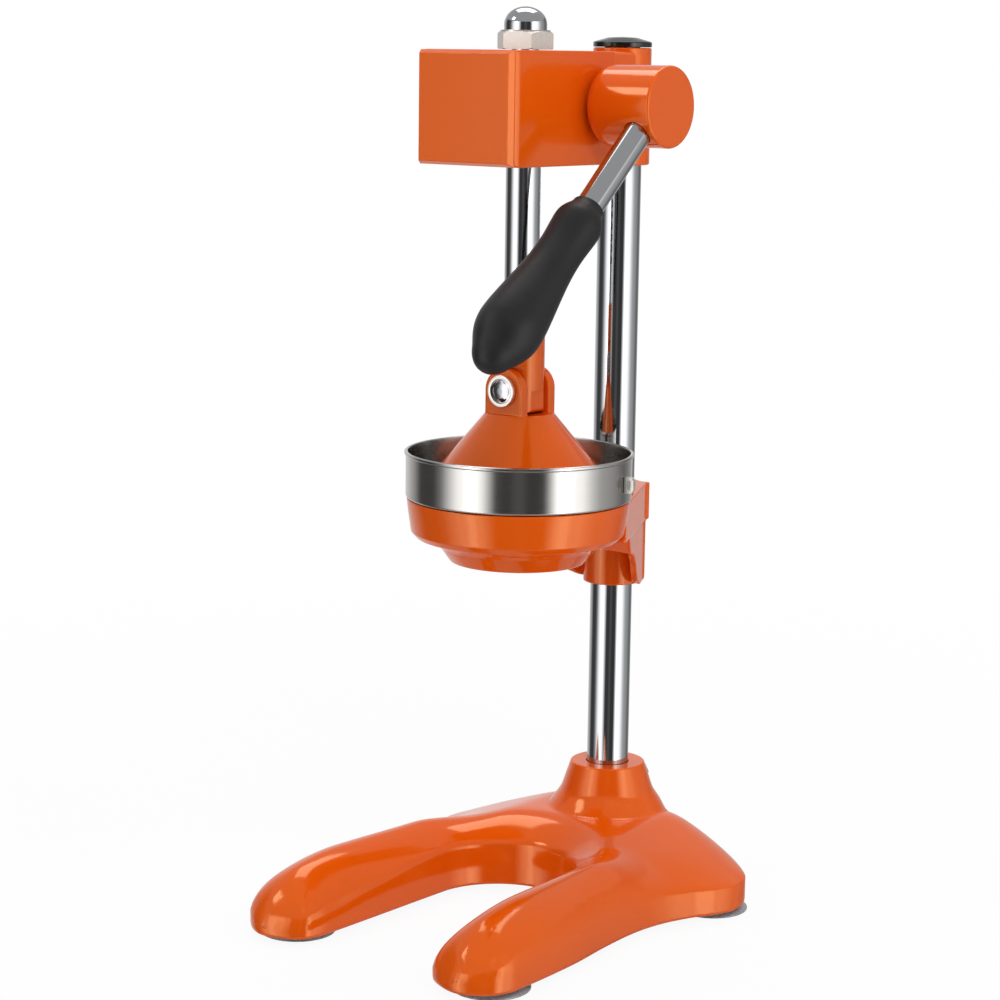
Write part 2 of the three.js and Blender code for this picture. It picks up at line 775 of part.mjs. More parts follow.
const strainerStep = gap; // the cup's step rests on the funnel's rim
const cupProfile = [
  [0, -strainerFoot],
  [strainerFootRadius, -strainerFoot],
  [strainerFootRadius, strainerStep],
  [strainerRadius, strainerStep],
  [strainerRadius, strainerHeight - strainerBeadHeight],
  [strainerRadius + strainerBead, strainerHeight - strainerBeadHeight / 2],
  [strainerRadius, strainerHeight],
  [strainerRadius - strainerSheet, strainerHeight],
  [strainerRadius - strainerSheet, strainerStep + strainerSheet],
  [strainerFootRadius - strainerSheet, strainerStep + strainerSheet],
  [strainerFootRadius - strainerSheet, strainerSheet - strainerFoot],
  [0, strainerSheet - strainerFoot],
];
const strainerHoles = strainerRingShares.flatMap((out, ringNumber) => {
  const radius = THREE.MathUtils.lerp(reamerRadius, strainerFootRadius, out);
  const holes = [];
  for (let k = 0; k < strainerRingHoles[ringNumber]; k += 1) {
    const angle = (2 * Math.PI * k) / strainerRingHoles[ringNumber];
    const place = [radius * Math.cos(angle), radius * Math.sin(angle)];
    holes.push(
      cylinder(strainerHoleRadius, -strainerFoot - overrun, 0, holeSides).translate(...place, 0),
    );
  }
  return holes;
});
piece(
  bowl,
  'strainer_cup',
  cut(
    turned(cupProfile, wideSides),
    cylinder(spigotRadius + gap, -strainerFoot - overrun, overrun, smallSides),
    ...strainerHoles,
  ),
  steel,
);

// A D-shaped loop: its flat side faces the wall.
const loop = (grow) => [
  [-grow, -lugHeight / 2 - grow],
  ...arc(lugReach / 2, -lugHeight / 2 + lugReach / 2, lugReach / 2 + grow, 270, 360, cornerSteps),
  ...arc(lugReach / 2, lugHeight / 2 - lugReach / 2, lugReach / 2 + grow, 0, 90, cornerSteps),
  [-grow, lugHeight / 2 + grow],
];
const lugBody = cut(
  prism(loop(0), -lugThickness / 2, lugThickness / 2),
  prism(loop(-lugHole), -lugThickness, lugThickness),
);
const lug = piece(bowl, 'strainer_lug', lugBody, chrome);
const lugTurn = THREE.MathUtils.degToRad(lugBearing);
const lugSeat = strainerRadius + gap;
lug.rotation.set(Math.PI / 2, 0, lugTurn, 'ZYX');
lug.position.set(lugSeat * Math.cos(lugTurn), lugSeat * Math.sin(lugTurn), lugLevel);

// Ribbed cone: shares of the height and of the base radius, from the base up.
const reamerShares = [[0, 1], [0.1, 0.96], [0.3, 0.8], [0.5, 0.6], [0.7, 0.38], [0.9, 0.15]];
const reamerFlutes = [];
const pointsPerRib = 4;
reamerShares.forEach(([up, out]) => {
  const row = [];
  for (let k = 0; k < reamerRibs * pointsPerRib; k += 1) {
    const angle = (2 * Math.PI * k) / (reamerRibs * pointsPerRib);
    const dip = (1 - Math.cos(reamerRibs * angle)) / 2;
    const radius = out * (reamerRadius - reamerGroove * dip);
    row.push([radius * Math.cos(angle), radius * Math.sin(angle), reamerFoot + up * reamerHeight]);
  }
  reamerFlutes.push(row);
});

// A closed shape from rings of points, ended by a point at each end.
function lofted(rings, low, high) {
  const around = rings[0].length;
  const corners = [...rings.flat(), [0, 0, low], [0, 0, high]].flat();
  const triangles = [];
  const lowCorner = rings.length * around;
  const highCorner = lowCorner + 1;
  for (let k = 0; k < around; k += 1) {
    const next = (k + 1) % around;
    for (let i = 1; i < rings.length; i += 1) {
      const [a, b] = [(i - 1) * around, i * around];
      triangles.push(a + k, a + next, b + next, a + k, b + next, b + k);
    }
    const top = (rings.length - 1) * around;
    triangles.push(lowCorner, next, k, highCorner, top + k, top + next);
  }
  const geometry = new THREE.BufferGeometry();
  geometry.setAttribute('position', new THREE.Float32BufferAttribute(corners, 3));
  geometry.setIndex(triangles);
  return geometry;
}

piece(
  bowl,
  'reamer_cone',
  join(
    lofted(reamerFlutes, reamerFoot, reamerFoot + reamerHeight),
    cylinder(reamerRadius + gap, reamerFoot, reamerFoot + reamerSkirt, wideSides),
    cylinder(spigotRadius, reamerFoot - spigotLength, reamerFoot + reamerSkirt / 2, smallSides),
  ),
  alloy,
);

// Head casting

const head = group(press, 0, 0, headLevel);
const cavityHalfWidth = headHalfWidth - wall;

function bevelledBox(halfWidth, front, rear, edge) {
  return [
    [-halfWidth, -front], [halfWidth, -front], [halfWidth, rear - edge], [halfWidth - edge, rear],
    [-halfWidth + edge, rear], [-halfWidth, rear - edge],
  ];
}

const headBox = prism(bevelledBox(headHalfWidth, headFront, headRear, headEdge), 0, headHeight);
const headNeck = box(-collarRadius, collarRadius, headRear - wall / 2, throat, 0, headHeight);
const headCollar = cylinder(
  collarRadius, -headCollarBelow, headHeight + headCollarAbove, roundSides,
).translate(0, throat, 0);
const headCavity = join(
  box(
    -cavityHalfWidth, cavityHalfWidth, -headFront - overrun, headRear - wall, wall, headHeight - wall,
  ),
  box(-neckHollowHalfWidth, neckHollowHalfWidth, 0, neckHollowEnd, wall, headHeight - wall),
);
const ramBosses = [
  cylinder(ramBossRadius, wall / 2, wall + ramBossHeight, roundSides),
  cylinder(ramBossRadius, headHeight - wall - ramBossHeight, headHeight - wall / 2, roundSides),
];
const shaftBosses = [
  cylinder(shaftBossRadius, shaftBossInner, headHalfWidth - wall / 2, roundSides),
  cylinder(shaftBossRadius, wall / 2 - headHalfWidth, -shaftBossInner, roundSides),
].map((boss) => alongX(boss).translate(0, pinionY, pinionLevel));
const shaftTunnel = alongX(
  cylinder(shaftBushRadius + gap, -headHalfWidth - overrun, headHalfWidth + overrun, roundSides),
).translate(0, pinionY, pinionLevel);
piece(
  head,
  'head_casting',
  cut(
    join(
      cut(join(headBox, headNeck), headCavity),
      headCollar,
      ...ramBosses,
      ...shaftBosses,
      boltPad(headBoltLevel, headBoltSeat),
    ),
    shaftTunnel,
    cylinder(ramBushRadius + gap, -overrun, headHeight + overrun, roundSides),
    cylinder(borePlay, -headCollarBelow - overrun, headHeight + headCollarAbove + overrun, roundSides)
      .translate(0, throat, 0),
    boltHole(headBoltLevel, headBoltSeat),
  ),
  paint,
);

const coverBack = -headFront - gap;
const spigotHalfWidth = cavityHalfWidth - gap;
piece(
  head,
  'head_front_cover',
  join(
    box(-headHalfWidth, headHalfWidth, coverBack - coverThickness, coverBack, 0, headHeight),
    box(
      -spigotHalfWidth, spigotHalfWidth,
      coverBack - coverThickness / 2, coverBack + coverSpigot,
      wall + gap, headHeight - wall - gap,
    ),
  ),
  paint,
);

const ramBushLength = wall + ramBossHeight;
const ramBush = (low) =>
  tube(ramRadius + gap, ramBushRadius, low, low + ramBushLength, roundSides);
piece(head, 'ram_bush_lower', ramBush(0), bronze);
piece(head, 'ram_bush_upper', ramBush(headHeight - ramBushLength), bronze);

const flangeSeat = headHalfWidth + gap;
const shaftBush = turned(
  [
    [shaftRadius + gap, shaftBossInner - bushInset],
    [shaftBushRadius, shaftBossInner - bushInset],
    [shaftBushRadius, flangeSeat],
    [shaftBushRadius + bushFlangeWidth, flangeSeat],
    [shaftBushRadius + bushFlangeWidth, flangeSeat + bushFlange],
    [shaftRadius + gap, flangeSeat + bushFlange],
  ],
  roundSides,
);
const bushRight = piece(head, 'shaft_bush_right', shaftBush, bronze);
bushRight.rotation.y = Math.PI / 2;
bushRight.position.set(0, pinionY, pinionLevel);
const bushLeft = piece(head, 'shaft_bush_left', shaftBush, bronze);
bushLeft.rotation.y = -Math.PI / 2;
bushLeft.position.set(0, pinionY, pinionLevel);

// Column cap

// Its dome: shares of the radius and of the dome's height.
const capDomeShares = [[0.796, 0.25], [0.5, 0.75]];
const capRadius = collarRadius + capOverhang;
const cap = group(press, 0, throat, headCollarTop + gap);
piece(
  cap,
  'column_cap',
  turned(
    [
      [0, -capPlug],
      [columnRadius - columnWall - gap, -capPlug],
      [columnRadius - columnWall - gap, 0],
      [capRadius, 0],
      [capRadius, capRim - capEdge],
      [capRadius - capEdge, capRim],
      ...capDomeShares.map(([out, up]) => [out * capRadius, capRim + up * capDome]),
      [0, capRim + capDome],
    ],
    roundSides,
  ),
  blackGloss,
);

// Lever, shaft and pinion, about the pinion axis

const lever = group(press, 0, pinionY, headLevel + pinionLevel);
const hubInner = flangeSeat + bushFlange + gap;
const hubOuter = hubInner + hubLength;
const rodX = hubOuter - rodOffset;
const rodTurn = Math.PI - leverAngle;
const shaftEnd = rodX - rodRadius - shaftWeb;

const hubProfile = [
  [0, hubInner],
  ...arc(hubRadius - hubFillet, hubInner + hubFillet, hubFillet, 270, 360, cornerSteps),
  [hubRadius, hubOuter - hubChamfer],
  [hubRadius - hubChamfer, hubOuter],
  [0, hubOuter],
];
const shaftBore = cylinder(shaftRadius + gap, hubInner - overrun, shaftEnd + gap, roundSides);
const rodBore = cylinder(rodRadius + gap, rodStart - gap, hubRadius + overrun, roundSides);
const grubBore = cylinder(grubRadius + gap, 0, hubRadius + overrun, smallSides);
const grubX = hubInner + grubOffset;
piece(
  lever,
  'lever_hub',
  cut(
    alongX(turned(hubProfile, wideSides)),
    alongX(shaftBore),
    rodBore.rotateX(rodTurn).translate(rodX, 0, 0),
    grubBore.rotateX(-leverAngle).translate(grubX, 0, 0),
  ),
  paint,
);

const grubTop = hubRadius - grubSink;
const grub = piece(
  lever,
  'hub_grub_screw',
  cut(
    cylinder(grubRadius, shaftRadius + gap, grubTop, smallSides),
    prism(hexagon(grubSocketRadius * 2), grubTop - grubSocketDepth, grubTop + overrun),
  ),
  steel,
);
grub.rotation.x = -leverAngle;
grub.position.set(grubX, 0, 0);

const gripEnd = gripStart + gripLength;
const rodEnd = gripEnd - gripEndWall;
const rod = piece(lever, 'lever_rod', cylinder(rodRadius, rodStart, rodEnd, roundSides), chrome);
rod.rotation.x = rodTurn;
rod.position.set(rodX, 0, 0);

// Grip, over the rod: shares of its length from the upper end, and of the way from its bore to
// its greatest radius. Round the tip: shares of its length and of its greatest radius.
const gripSleeveShares = [
  [0.03, 0.152], [0.1, 0.5435], [0.175, 0.522], [0.25, 0.4677], [0.34, 0.48], [0.42, 0.5543],
  [0.52, 0.7077], [0.62, 0.8737], [0.7, 0.9675], [0.76, 0.9928], [0.83, 0.8556],
];
const gripTipShares = [[0.88, 0.79], [0.92, 0.655], [0.95, 0.56], [0.98, 0.36]];
const gripBore = rodRadius + gap;
const grip = piece(
  lever,
  'lever_grip',
  turned(
    [
      [0, rodEnd + gap],
      [gripBore, rodEnd + gap],
      [gripBore, gripStart],
      ...gripSleeveShares.map(([along, out]) => [
        THREE.MathUtils.lerp(gripBore, gripRadius, out),
        gripStart + along * gripLength,
      ]),
      ...gripTipShares.map(([along, out]) => [out * gripRadius, gripStart + along * gripLength]),
      [0, gripEnd],
    ],
    roundSides,
  ),
  blackGrip,
);
grip.rotation.x = rodTurn;
grip.position.set(rodX, 0, 0);

const washerFace = flangeSeat + bushFlange + gap;
const ringFace = washerFace + washerThickness + gap;
const grooveRadius = shaftRadius - grooveDepth;
const shaftLeft = ringFace + ringThickness + gap + shaftStub;
const groove = tube(
  grooveRadius, shaftRadius + overrun, -ringFace - ringThickness - gap, gap - ringFace, roundSides,
);
const keySlot = (play) => {
  const halfWidth = keyWidth / 2 + play;
  return box(
    -keyHalfLength - play, keyHalfLength + play, -halfWidth, halfWidth,
    shaftRadius - keyWidth / 2 - play, shaftRadius + keyWidth / 2 + play,
  );
};
piece(
  lever,
  'pinion_shaft',
  cut(
    alongX(cylinder(shaftRadius, -shaftLeft, shaftEnd, roundSides)),
    alongX(groove),
    keySlot(gap),
  ),
  steel,
);
piece(lever, 'pinion_key', keySlot(0), steel);

piece(
  lever,
  'shaft_washer',
  alongX(
    tube(
      shaftRadius + gap, shaftRadius + gap + washerWidth,
      -washerFace - washerThickness, -washerFace, roundSides,
    ),
  ),
  steel,
);

// A retaining ring with an open side, for a groove of the given radius.
function openRing(inner, outer, low, high, slot) {
  return cut(
    tube(inner, outer, low, high, roundSides),
    box(-outer, 0, -slot / 2, slot / 2, low - overrun, high + overrun),
  );
}
const shaftRing = piece(
  lever,
  'shaft_retaining_ring',
  openRing(grooveRadius + gap, shaftRadius + ringWidth, ringFace, ringFace + ringThickness, ringSlot),
  steel,
);
shaftRing.rotation.y = -Math.PI / 2;

// Pinion outline: on each tooth, its flanks at shares of the way from base to tip circle.
const baseCircle = pitchRadius * Math.cos(pressureAngle);
const involute = (angle) => Math.tan(angle) - angle;
function flankAngle(radius) {
  const pitchHalf = Math.PI / 2 / pinionTeeth - backlash / 2 / pitchRadius;
  const turn = radius > baseCircle ? Math.acos(baseCircle / radius) : 0;
  return pitchHalf + involute(pressureAngle) - involute(turn);
}
const flankShares = [0, 0.4, 0.75, 1];
const flank = [
  rootRadius,
  ...flankShares.map((share) => THREE.MathUtils.lerp(baseCircle, tipRadius, share)),
];
const pinionOutline = [];
for (let tooth = 0; tooth < pinionTeeth; tooth += 1) {
  const middle = (2 * Math.PI * tooth) / pinionTeeth;
  flank.forEach((radius) => {
    const angle = middle - flankAngle(radius);
    pinionOutline.push([radius * Math.cos(angle), radius * Math.sin(angle)]);
  });
  [...flank].reverse().forEach((radius) => {
    const angle = middle + flankAngle(radius);
    pinionOutline.push([radius * Math.cos(angle), radius * Math.sin(angle)]);
  });
}
const pinionBlank = prism(pinionOutline, -pinionHalfWidth, pinionHalfWidth);
const keyWay = keyWidth / 2 + gap;
const pinionBody = cut(
  alongX(pinionBlank.rotateZ(-Math.PI / 2)),
  alongX(cylinder(shaftRadius + gap, -pinionHalfWidth - overrun, pinionHalfWidth + overrun, roundSides)),
  box(
    -pinionHalfWidth - overrun, pinionHalfWidth + overrun, -keyWay, keyWay,
    0, shaftRadius + keyWay,
  ),
);
piece(lever, 'pinion_gear', pinionBody, steel);

// Ram, nut and socket

const ram = group(press, 0, 0, pinLevel);
const pinionLine = headLevel + pinionLevel - pinLevel;
const ramShoulder = headTop - pinLevel + nutSeat - gap;
const ramLow = socketTop - socketBoreDepth + gap;
const pitch = Math.PI * gearModule;
const spread = Math.tan(pressureAngle);
const rootPlane = ramPitchPlane - toothDepthShare * gearModule;
const outPlane = ramRadius + overrun;
const rackSpaces = [];
for (let k = -rackSpacesBelow; k <= rackSpacesAbove; k += 1) {
  const middle = pinionLine + k * pitch;
  const inner = pitch / 4 - (ramPitchPlane - rootPlane) * spread;
  const outer = pitch / 4 + (outPlane - ramPitchPlane) * spread;
  rackSpaces.push(
    sideSlab(
      [
        [rootPlane, middle - inner], [outPlane, middle - outer],
        [outPlane, middle + outer], [rootPlane, middle + inner],
      ],
      -ramRadius - overrun,
      ramRadius + overrun,
    ),
  );
}
piece(
  ram,
  'ram_rack',
  cut(
    join(
      cylinder(ramRadius, ramLow, ramShoulder, roundSides),
      cylinder(studRadius, ramShoulder - studRadius, ramShoulder + gap + studLength, roundSides),
    ),
    ...rackSpaces,
  ),
  chrome,
);

// Dome of the nut: shares of its radius and of the height over the hexagon.
const domeShares = [[1, 0], [1, 0.3], [0.94, 0.53], [0.76, 0.76], [0.48, 0.92]];
const nut = piece(
  ram,
  'ram_stop_nut',
  cut(
    join(
      prism(hexagon(nutFlats), 0, nutHexHeight),
      turned(
        [
          [0, nutHexHeight / 2],
          [nutDomeRadius, nutHexHeight / 2],
          ...domeShares.map(([out, up]) => [
            out * nutDomeRadius,
            THREE.MathUtils.lerp(nutHexHeight, nutHeight, up),
          ]),
          [0, nutHeight],
        ],
        roundSides,
      ),
    ),
    cylinder(studRadius + gap, -overrun, studLength + studRoof, roundSides),
  ),
  chrome,
);
nut.rotation.z = nutTurn;
nut.position.z = ramShoulder + gap;

const socketFlat = earInner - gap;
const socketRadius = ramRadius + gap + socketWall;
const socketBody = common(
  join(
    turned(
      [
        [0, 0],
        [socketRadius, 0],
        [socketRadius, socketTop - socketChamfer],
        [socketRadius - socketChamfer, socketTop],
        [0, socketTop],
      ],
      roundSides,
    ),
    alongFront(cylinder(socketRound, -socketFlat, socketFlat, roundSides)),
  ),
  join(
    box(-socketRadius, socketRadius, -socketFlat, socketFlat, -socketRound - overrun, socketTop),
    box(
      -socketRadius - gap, socketRadius + gap, -socketRadius - gap, socketRadius + gap,
      socketFlatTop, socketTop + overrun,
    ),
  ),
);
piece(
  ram,
  'ram_socket',
  cut(
    socketBody,
    alongFront(cylinder(pinRadius + gap, -socketRadius - overrun, socketRadius + overrun, roundSides)),
    cylinder(ramRadius + gap, socketTop - socketBoreDepth, socketTop + overrun, roundSides),
  ),
  paint,
);

// Pivot pin with its washer and ring; local z runs forward

const pinTurn = Math.PI / 2;
const earOuter = earInner + earThickness;
const washerSeat = earOuter + gap;
const pinHeadSeat = washerSeat + pinWasherPlate + gap;
const pinHeadRadius = pinWasherRadius - pinWasherRim - gap;
const pinHeadEdge = washerSeat + pinWasherHeight - gap;
const pinRingFace = earOuter + gap;
const pinTail = pinRingFace + pinRingThickness + gap + pinStub;
const pinGroove = pinRadius - grooveDepth;
const pin = piece(
  ram,
  'pivot_pin',
  turned(
    [
      [0, -pinTail],
      [pinRadius, -pinTail],
      [pinRadius, -pinRingFace - pinRingThickness - gap],
      [pinGroove, -pinRingFace - pinRingThickness - gap],
      [pinGroove, gap - pinRingFace],
      [pinRadius, gap - pinRingFace],
      [pinRadius, pinHeadSeat],
      [pinHeadRadius, pinHeadSeat],
      [pinHeadRadius, pinHeadEdge],
      [pinHeadRadius / 2, pinHeadEdge + pinDomeShare * pinHeadDome],
      [0, pinHeadEdge + pinHeadDome],
    ],
    roundSides,
  ),
  chrome,
);
pin.rotation.x = pinTurn;
const pinWasher = piece(
  ram,
  'pivot_pin_washer',
  turned(
    [
      [pinRadius + gap, washerSeat],
      [pinWasherRadius, washerSeat],
      [pinWasherRadius, washerSeat + pinWasherHeight],
      [pinWasherRadius - pinWasherRim, washerSeat + pinWasherHeight],
      [pinWasherRadius - pinWasherRim, washerSeat + pinWasherPlate],
      [pinRadius + gap, washerSeat + pinWasherPlate],
    ],
    roundSides,
  ),
  chrome,
);
pinWasher.rotation.x = pinTurn;
const pinRing = piece(
  ram,
  'pivot_pin_ring',
  openRing(
    pinGroove + gap, pinRadius + ringWidth, -pinRingFace - pinRingThickness, -pinRingFace, ringSlot,
  ),
  steel,
);
pinRing.rotation.x = pinTurn;

// Pusher bell, about the pivot pin

// Outside of the bell: shares of the rim's radius, and of the depth from its top to its rim.
const bellOutsideShares = [
  [1, 1], [0.86, 0.728], [0.648, 0.316], [0.545, 0.16], [0.483, 0.086], [0.391, 0],
];
const bellOutside = bellOutsideShares.map(([out, down]) => [
  out * bellRadius,
  -THREE.MathUtils.lerp(bellTop, bellDepth, down),
]);
const bellShoulder = bellOutside[2];
const bellSkin = turned(
  [
    [0, -bellRoof],
    [bellRoofRadius, -bellRoof],
    [bellShoulder[0] - bellSlopeShare * wall, bellShoulder[1]],
    [bellRadius - bellWall, -bellDepth],
    ...bellOutside,
    [0, -bellTop],
  ],
  wideSides,
);
const earOutline = [
  [-earHalfWidth, -bellTop - wall],
  [earHalfWidth, -bellTop - wall],
  ...arc(0, 0, earHalfWidth, 0, 180, earSteps),
];
const ears = [-earOuter, earInner].map((rear) =>
  alongFront(prism(earOutline, -rear - earThickness, -rear)),
);
const trough = alongFront(
  cylinder(socketRound + troughClearance, -earInner, earInner, roundSides),
);
const earBore = alongFront(
  cylinder(pinRadius + gap, -earOuter - overrun, earOuter + overrun, roundSides),
);
const bell = group(press, 0, 0, pinLevel);
piece(bell, 'pusher_bell', cut(join(bellSkin, ...ears), trough, earBore), paint);

export default press;
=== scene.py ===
"""Lever citrus juice press: the visible pieces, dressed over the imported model.

Lengths are millimetres in the press's own frame (ram axis at x = y = 0, z = 0 at the lower
edge of the base casting, front towards -Y). Every mesh is written in metres, moved by TO_MODEL
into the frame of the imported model, whose z = 0 is under the feet.
"""

import math

import bmesh
import bpy
import numpy as np
from mathutils import Matrix, Vector
from mathutils.geometry import delaunay_2d_cdt


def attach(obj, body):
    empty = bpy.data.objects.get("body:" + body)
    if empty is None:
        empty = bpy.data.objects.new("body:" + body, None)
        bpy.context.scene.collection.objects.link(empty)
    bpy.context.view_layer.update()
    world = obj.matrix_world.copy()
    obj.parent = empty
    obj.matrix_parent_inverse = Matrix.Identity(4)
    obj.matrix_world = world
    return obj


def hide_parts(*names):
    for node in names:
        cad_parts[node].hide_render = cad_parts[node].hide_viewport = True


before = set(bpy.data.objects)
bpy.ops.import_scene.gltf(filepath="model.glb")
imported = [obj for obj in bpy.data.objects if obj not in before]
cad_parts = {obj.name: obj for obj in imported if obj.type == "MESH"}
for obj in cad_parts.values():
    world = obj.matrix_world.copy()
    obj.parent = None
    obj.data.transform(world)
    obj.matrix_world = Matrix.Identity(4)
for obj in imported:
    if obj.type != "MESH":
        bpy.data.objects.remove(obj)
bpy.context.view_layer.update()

MM = 0.001
TO_MODEL = Vector((0.0, 2.6, 4.0))
GAP = 0.3
# The column stands THROAT behind the ram. FUNNEL_RIM, HEAD (its underside) and PIN are heights.
THROAT = 84.0
FUNNEL_RIM = 221.0
HEAD = 394.4
HEAD_HEIGHT = 57.5
HEAD_TOP = HEAD + HEAD_HEIGHT
COLUMN_RADIUS = 11.45
COLUMN_BORE = COLUMN_RADIUS + GAP
PIN = 278.5
PIN_RADIUS = 5.0
PIN_HOLE = PIN_RADIUS + GAP
RAM_RADIUS = 9.0
RAM_BORE = RAM_RADIUS + GAP
RAM_NECK = 7.0
RAM_TOP = 465.3
RAM_BUSH_RADIUS = 11.5
SHAFT_RADIUS = 8.0
SHAFT_BORE = SHAFT_RADIUS + GAP
SHAFT_END = 54.0
SHAFT_BUSH_RADIUS = 10.5
PINION_Y = 26.0
PINION_Z = HEAD + 30.2
ROD_RADIUS = 7.1
ROD_BORE = ROD_RADIUS + GAP
ROD_START = 4.0
ROD_END = 165.0
LEVER_ANGLE = math.radians(48.09)


# Shapes


def rough_object(name, shape, merge=True):
    """An object from press millimetres; merge joins its doubles and turns its faces out."""
    verts, faces = shape
    mesh = bpy.data.meshes.new(name)
    mesh.from_pydata([tuple((Vector(v) + TO_MODEL) * MM) for v in verts], [], faces)
    piece = bpy.data.objects.new(name, mesh)
    bpy.context.scene.collection.objects.link(piece)
    if merge:
        work = bmesh.new()
        work.from_mesh(mesh)
        bmesh.ops.remove_doubles(work, verts=work.verts, dist=1e-7)
        bmesh.ops.recalc_face_normals(work, faces=work.faces)
        work.to_mesh(mesh)
        work.free()
    return piece


def dress(piece, finish, body, nodes):
    """A piece's finish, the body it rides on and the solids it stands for."""
    piece.data.materials.clear()
    piece.data.materials.append(finish)
    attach(piece, body)
    if nodes:
        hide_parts(*nodes)
    return piece


def weighted(piece):
    """Flat faces stay flat in the light beside small rounded edges."""
    shade = piece.modifiers.new("even shading", "WEIGHTED_NORMAL")
    shade.keep_sharp = True
    shade.weight = 60
    return piece


def finish_mesh(name, verts, faces, finish, body, nodes=(), slot=None, sharp=38, normals=None):
    """A piece straight from its vertices, dressed and hung on its body."""
    piece = rough_object(name, (verts, faces), normals is None)
    piece.data.shade_smooth()
    if normals is None:
        piece.data.set_sharp_from_angle(angle=math.radians(sharp))
    else:
        piece.data.normals_split_custom_set_from_vertices([tuple(n) for n in normals])
    return dress(piece, finish, body, nodes)


def finish_carved(piece, finish, body, nodes, sharp=32):
    """A carved piece, smooth but for its sharp edges, dressed and hung on its body."""
    piece.data.shade_smooth()
    piece.data.set_sharp_from_angle(angle=math.radians(sharp))
    return weighted(dress(piece, finish, body, nodes))


def softened(points, steps=4, closed=False):
    """An outline whose corners are rounded: each point is (u, v) or (u, v, radius)."""
    count = len(points)
    out = []
    for i, point in enumerate(points):
        here = Vector(point[:2])
        radius = point[2] if len(point) > 2 else 0.0
        inside = 0 < i < count - 1
        if not radius or not (closed or inside):
            out.append(here)
            continue
        before = Vector(points[i - 1][:2]) - here
        after = Vector(points[(i + 1) % count][:2]) - here
        angle = before.angle(after)
        if angle > math.radians(179):
            out.append(here)
            continue
        reach = min(radius / math.tan(angle / 2), before.length * 0.49, after.length * 0.49)
        radius = reach * math.tan(angle / 2)
        start = here + before.normalized() * reach
        end = here + after.normalized() * reach
        centre = here + (before.normalized() + after.normalized()).normalized() * (
            radius / math.sin(angle / 2)
        )
        first = start - centre
        last = end - centre
        turn = math.atan2(first.x * last.y - first.y * last.x, first.dot(last))
        for k in range(steps + 1):
            share = turn * k / steps
            c, s = math.cos(share), math.sin(share)
            out.append(centre + Vector((first.x * c - first.y * s, first.x * s + first.y * c)))
    return [tuple(p) for p in out]


def spun(profile, count=96, start=0.0, sweep=2 * math.pi):
    """Vertices and faces of a profile (radius, height) turned about Z, poles closed."""
    full = abs(sweep - 2 * math.pi) < 1e-9
    columns = count if full else count + 1
    verts, faces, rows = [], [], []
    for r, z in profile:
        if r < 1e-6:
            rows.append([len(verts)] * columns)
            verts.append((0.0, 0.0, z))
            continue
        row = []
        for k in range(columns):
            a = start + sweep * k / count
            row.append(len(verts))
            verts.append((r * math.cos(a), r * math.sin(a), z))
        rows.append(row)
    for low, high in zip(rows, rows[1:]):
        for k in range(count):
            n = (k + 1) % columns if full else k + 1
            face = []
            for index in (low[k], low[n], high[n], high[k]):
                if index not in face:
                    face.append(index)
            if len(face) > 2:
                faces.append(face)
    return verts, faces


def turned(profile, count=96, steps=4):
    """A profile (radius, height, corner radius) turned about Z, its corners rounded."""
    return spun(softened(profile, steps), count)


def plug(radius, low, high, count=96):
    """A plain round solid about Z."""
    return spun([(0, low), (radius, low), (radius, high), (0, high)], count)


def raised(profile, z):
    return [(r, z + h) for r, h in profile]


def moved(shape, matrix):
    verts, faces = shape
    return [tuple(matrix @ Vector(v)) for v in verts], faces


def together(*shapes):
    verts, faces = [], []
    for more, sides in shapes:
        base = len(verts)
        verts.extend(more)
        faces.extend([[base + i for i in side] for side in sides])
    return verts, faces


def shift(x=0.0, y=0.0, z=0.0):
    return Matrix.Translation((x, y, z))


def turn(angle, axis):
    return Matrix.Rotation(angle, 4, axis)


ALONG_X = turn(math.pi / 2, "Y")
ALONG_FRONT = turn(math.pi / 2, "X")
ALONG_REAR = turn(-math.pi / 2, "X")
# A side view (y, z) drawn as an outline, and set up with its thickness along X.
SIDE_VIEW = Matrix(((0, 0, 1, 0), (1, 0, 0, 0), (0, 1, 0, 0), (0, 0, 0, 1)))


def slab(outline, low, high, edge=0.0, steps=3):
    """An outline (x, y) drawn up in Z, its rims rounded."""
    same = 1e-4
    loop = []
    for point in outline:
        point = Vector(point)
        if not loop or (point - loop[-1]).length > same:
            loop.append(point)
    if (loop[0] - loop[-1]).length < same:
        loop.pop()
    count = len(loop)
    edges = [(i, (i + 1) % count) for i in range(count)]
    done = delaunay_2d_cdt(loop, edges, [], 2, 1e-6)
    points, sides = done[0], done[2]
    work = bmesh.new()
    lower = [work.verts.new((p.x, p.y, low)) for p in points]
    upper = [work.verts.new((p.x, p.y, high)) for p in points]
    for side in sides:
        work.faces.new([upper[i] for i in side])
        work.faces.new([lower[i] for i in reversed(side)])
    for a, b in edges:
        work.faces.new([lower[a], lower[b], upper[b], upper[a]])
    bmesh.ops.recalc_face_normals(work, faces=work.faces)
    bmesh.ops.dissolve_limit(
        work, angle_limit=math.radians(1), verts=work.verts, edges=work.edges
    )
    if edge:
        rims = [
            e
            for e in work.edges
            if len(e.link_faces) == 2 and e.calc_face_angle(0) > math.radians(30)
        ]
        bmesh.ops.bevel(
            work, geom=rims, offset=edge, segments=steps, profile=0.5, affect="EDGES",
            clamp_overlap=True,
        )
    bmesh.ops.triangulate(work, faces=[f for f in work.faces if len(f.verts) > 4])
    work.verts.index_update()
    verts = [tuple(v.co) for v in work.verts]
    faces = [[v.index for v in f.verts] for f in work.faces]
    work.free()
    return verts, faces


def block(x0, x1, y0, y1, z0, z1, edge=0.0, steps=4):
    return slab([(x0, y0), (x1, y0), (x1, y1), (x0, y1)], z0, z1, edge=edge, steps=steps)


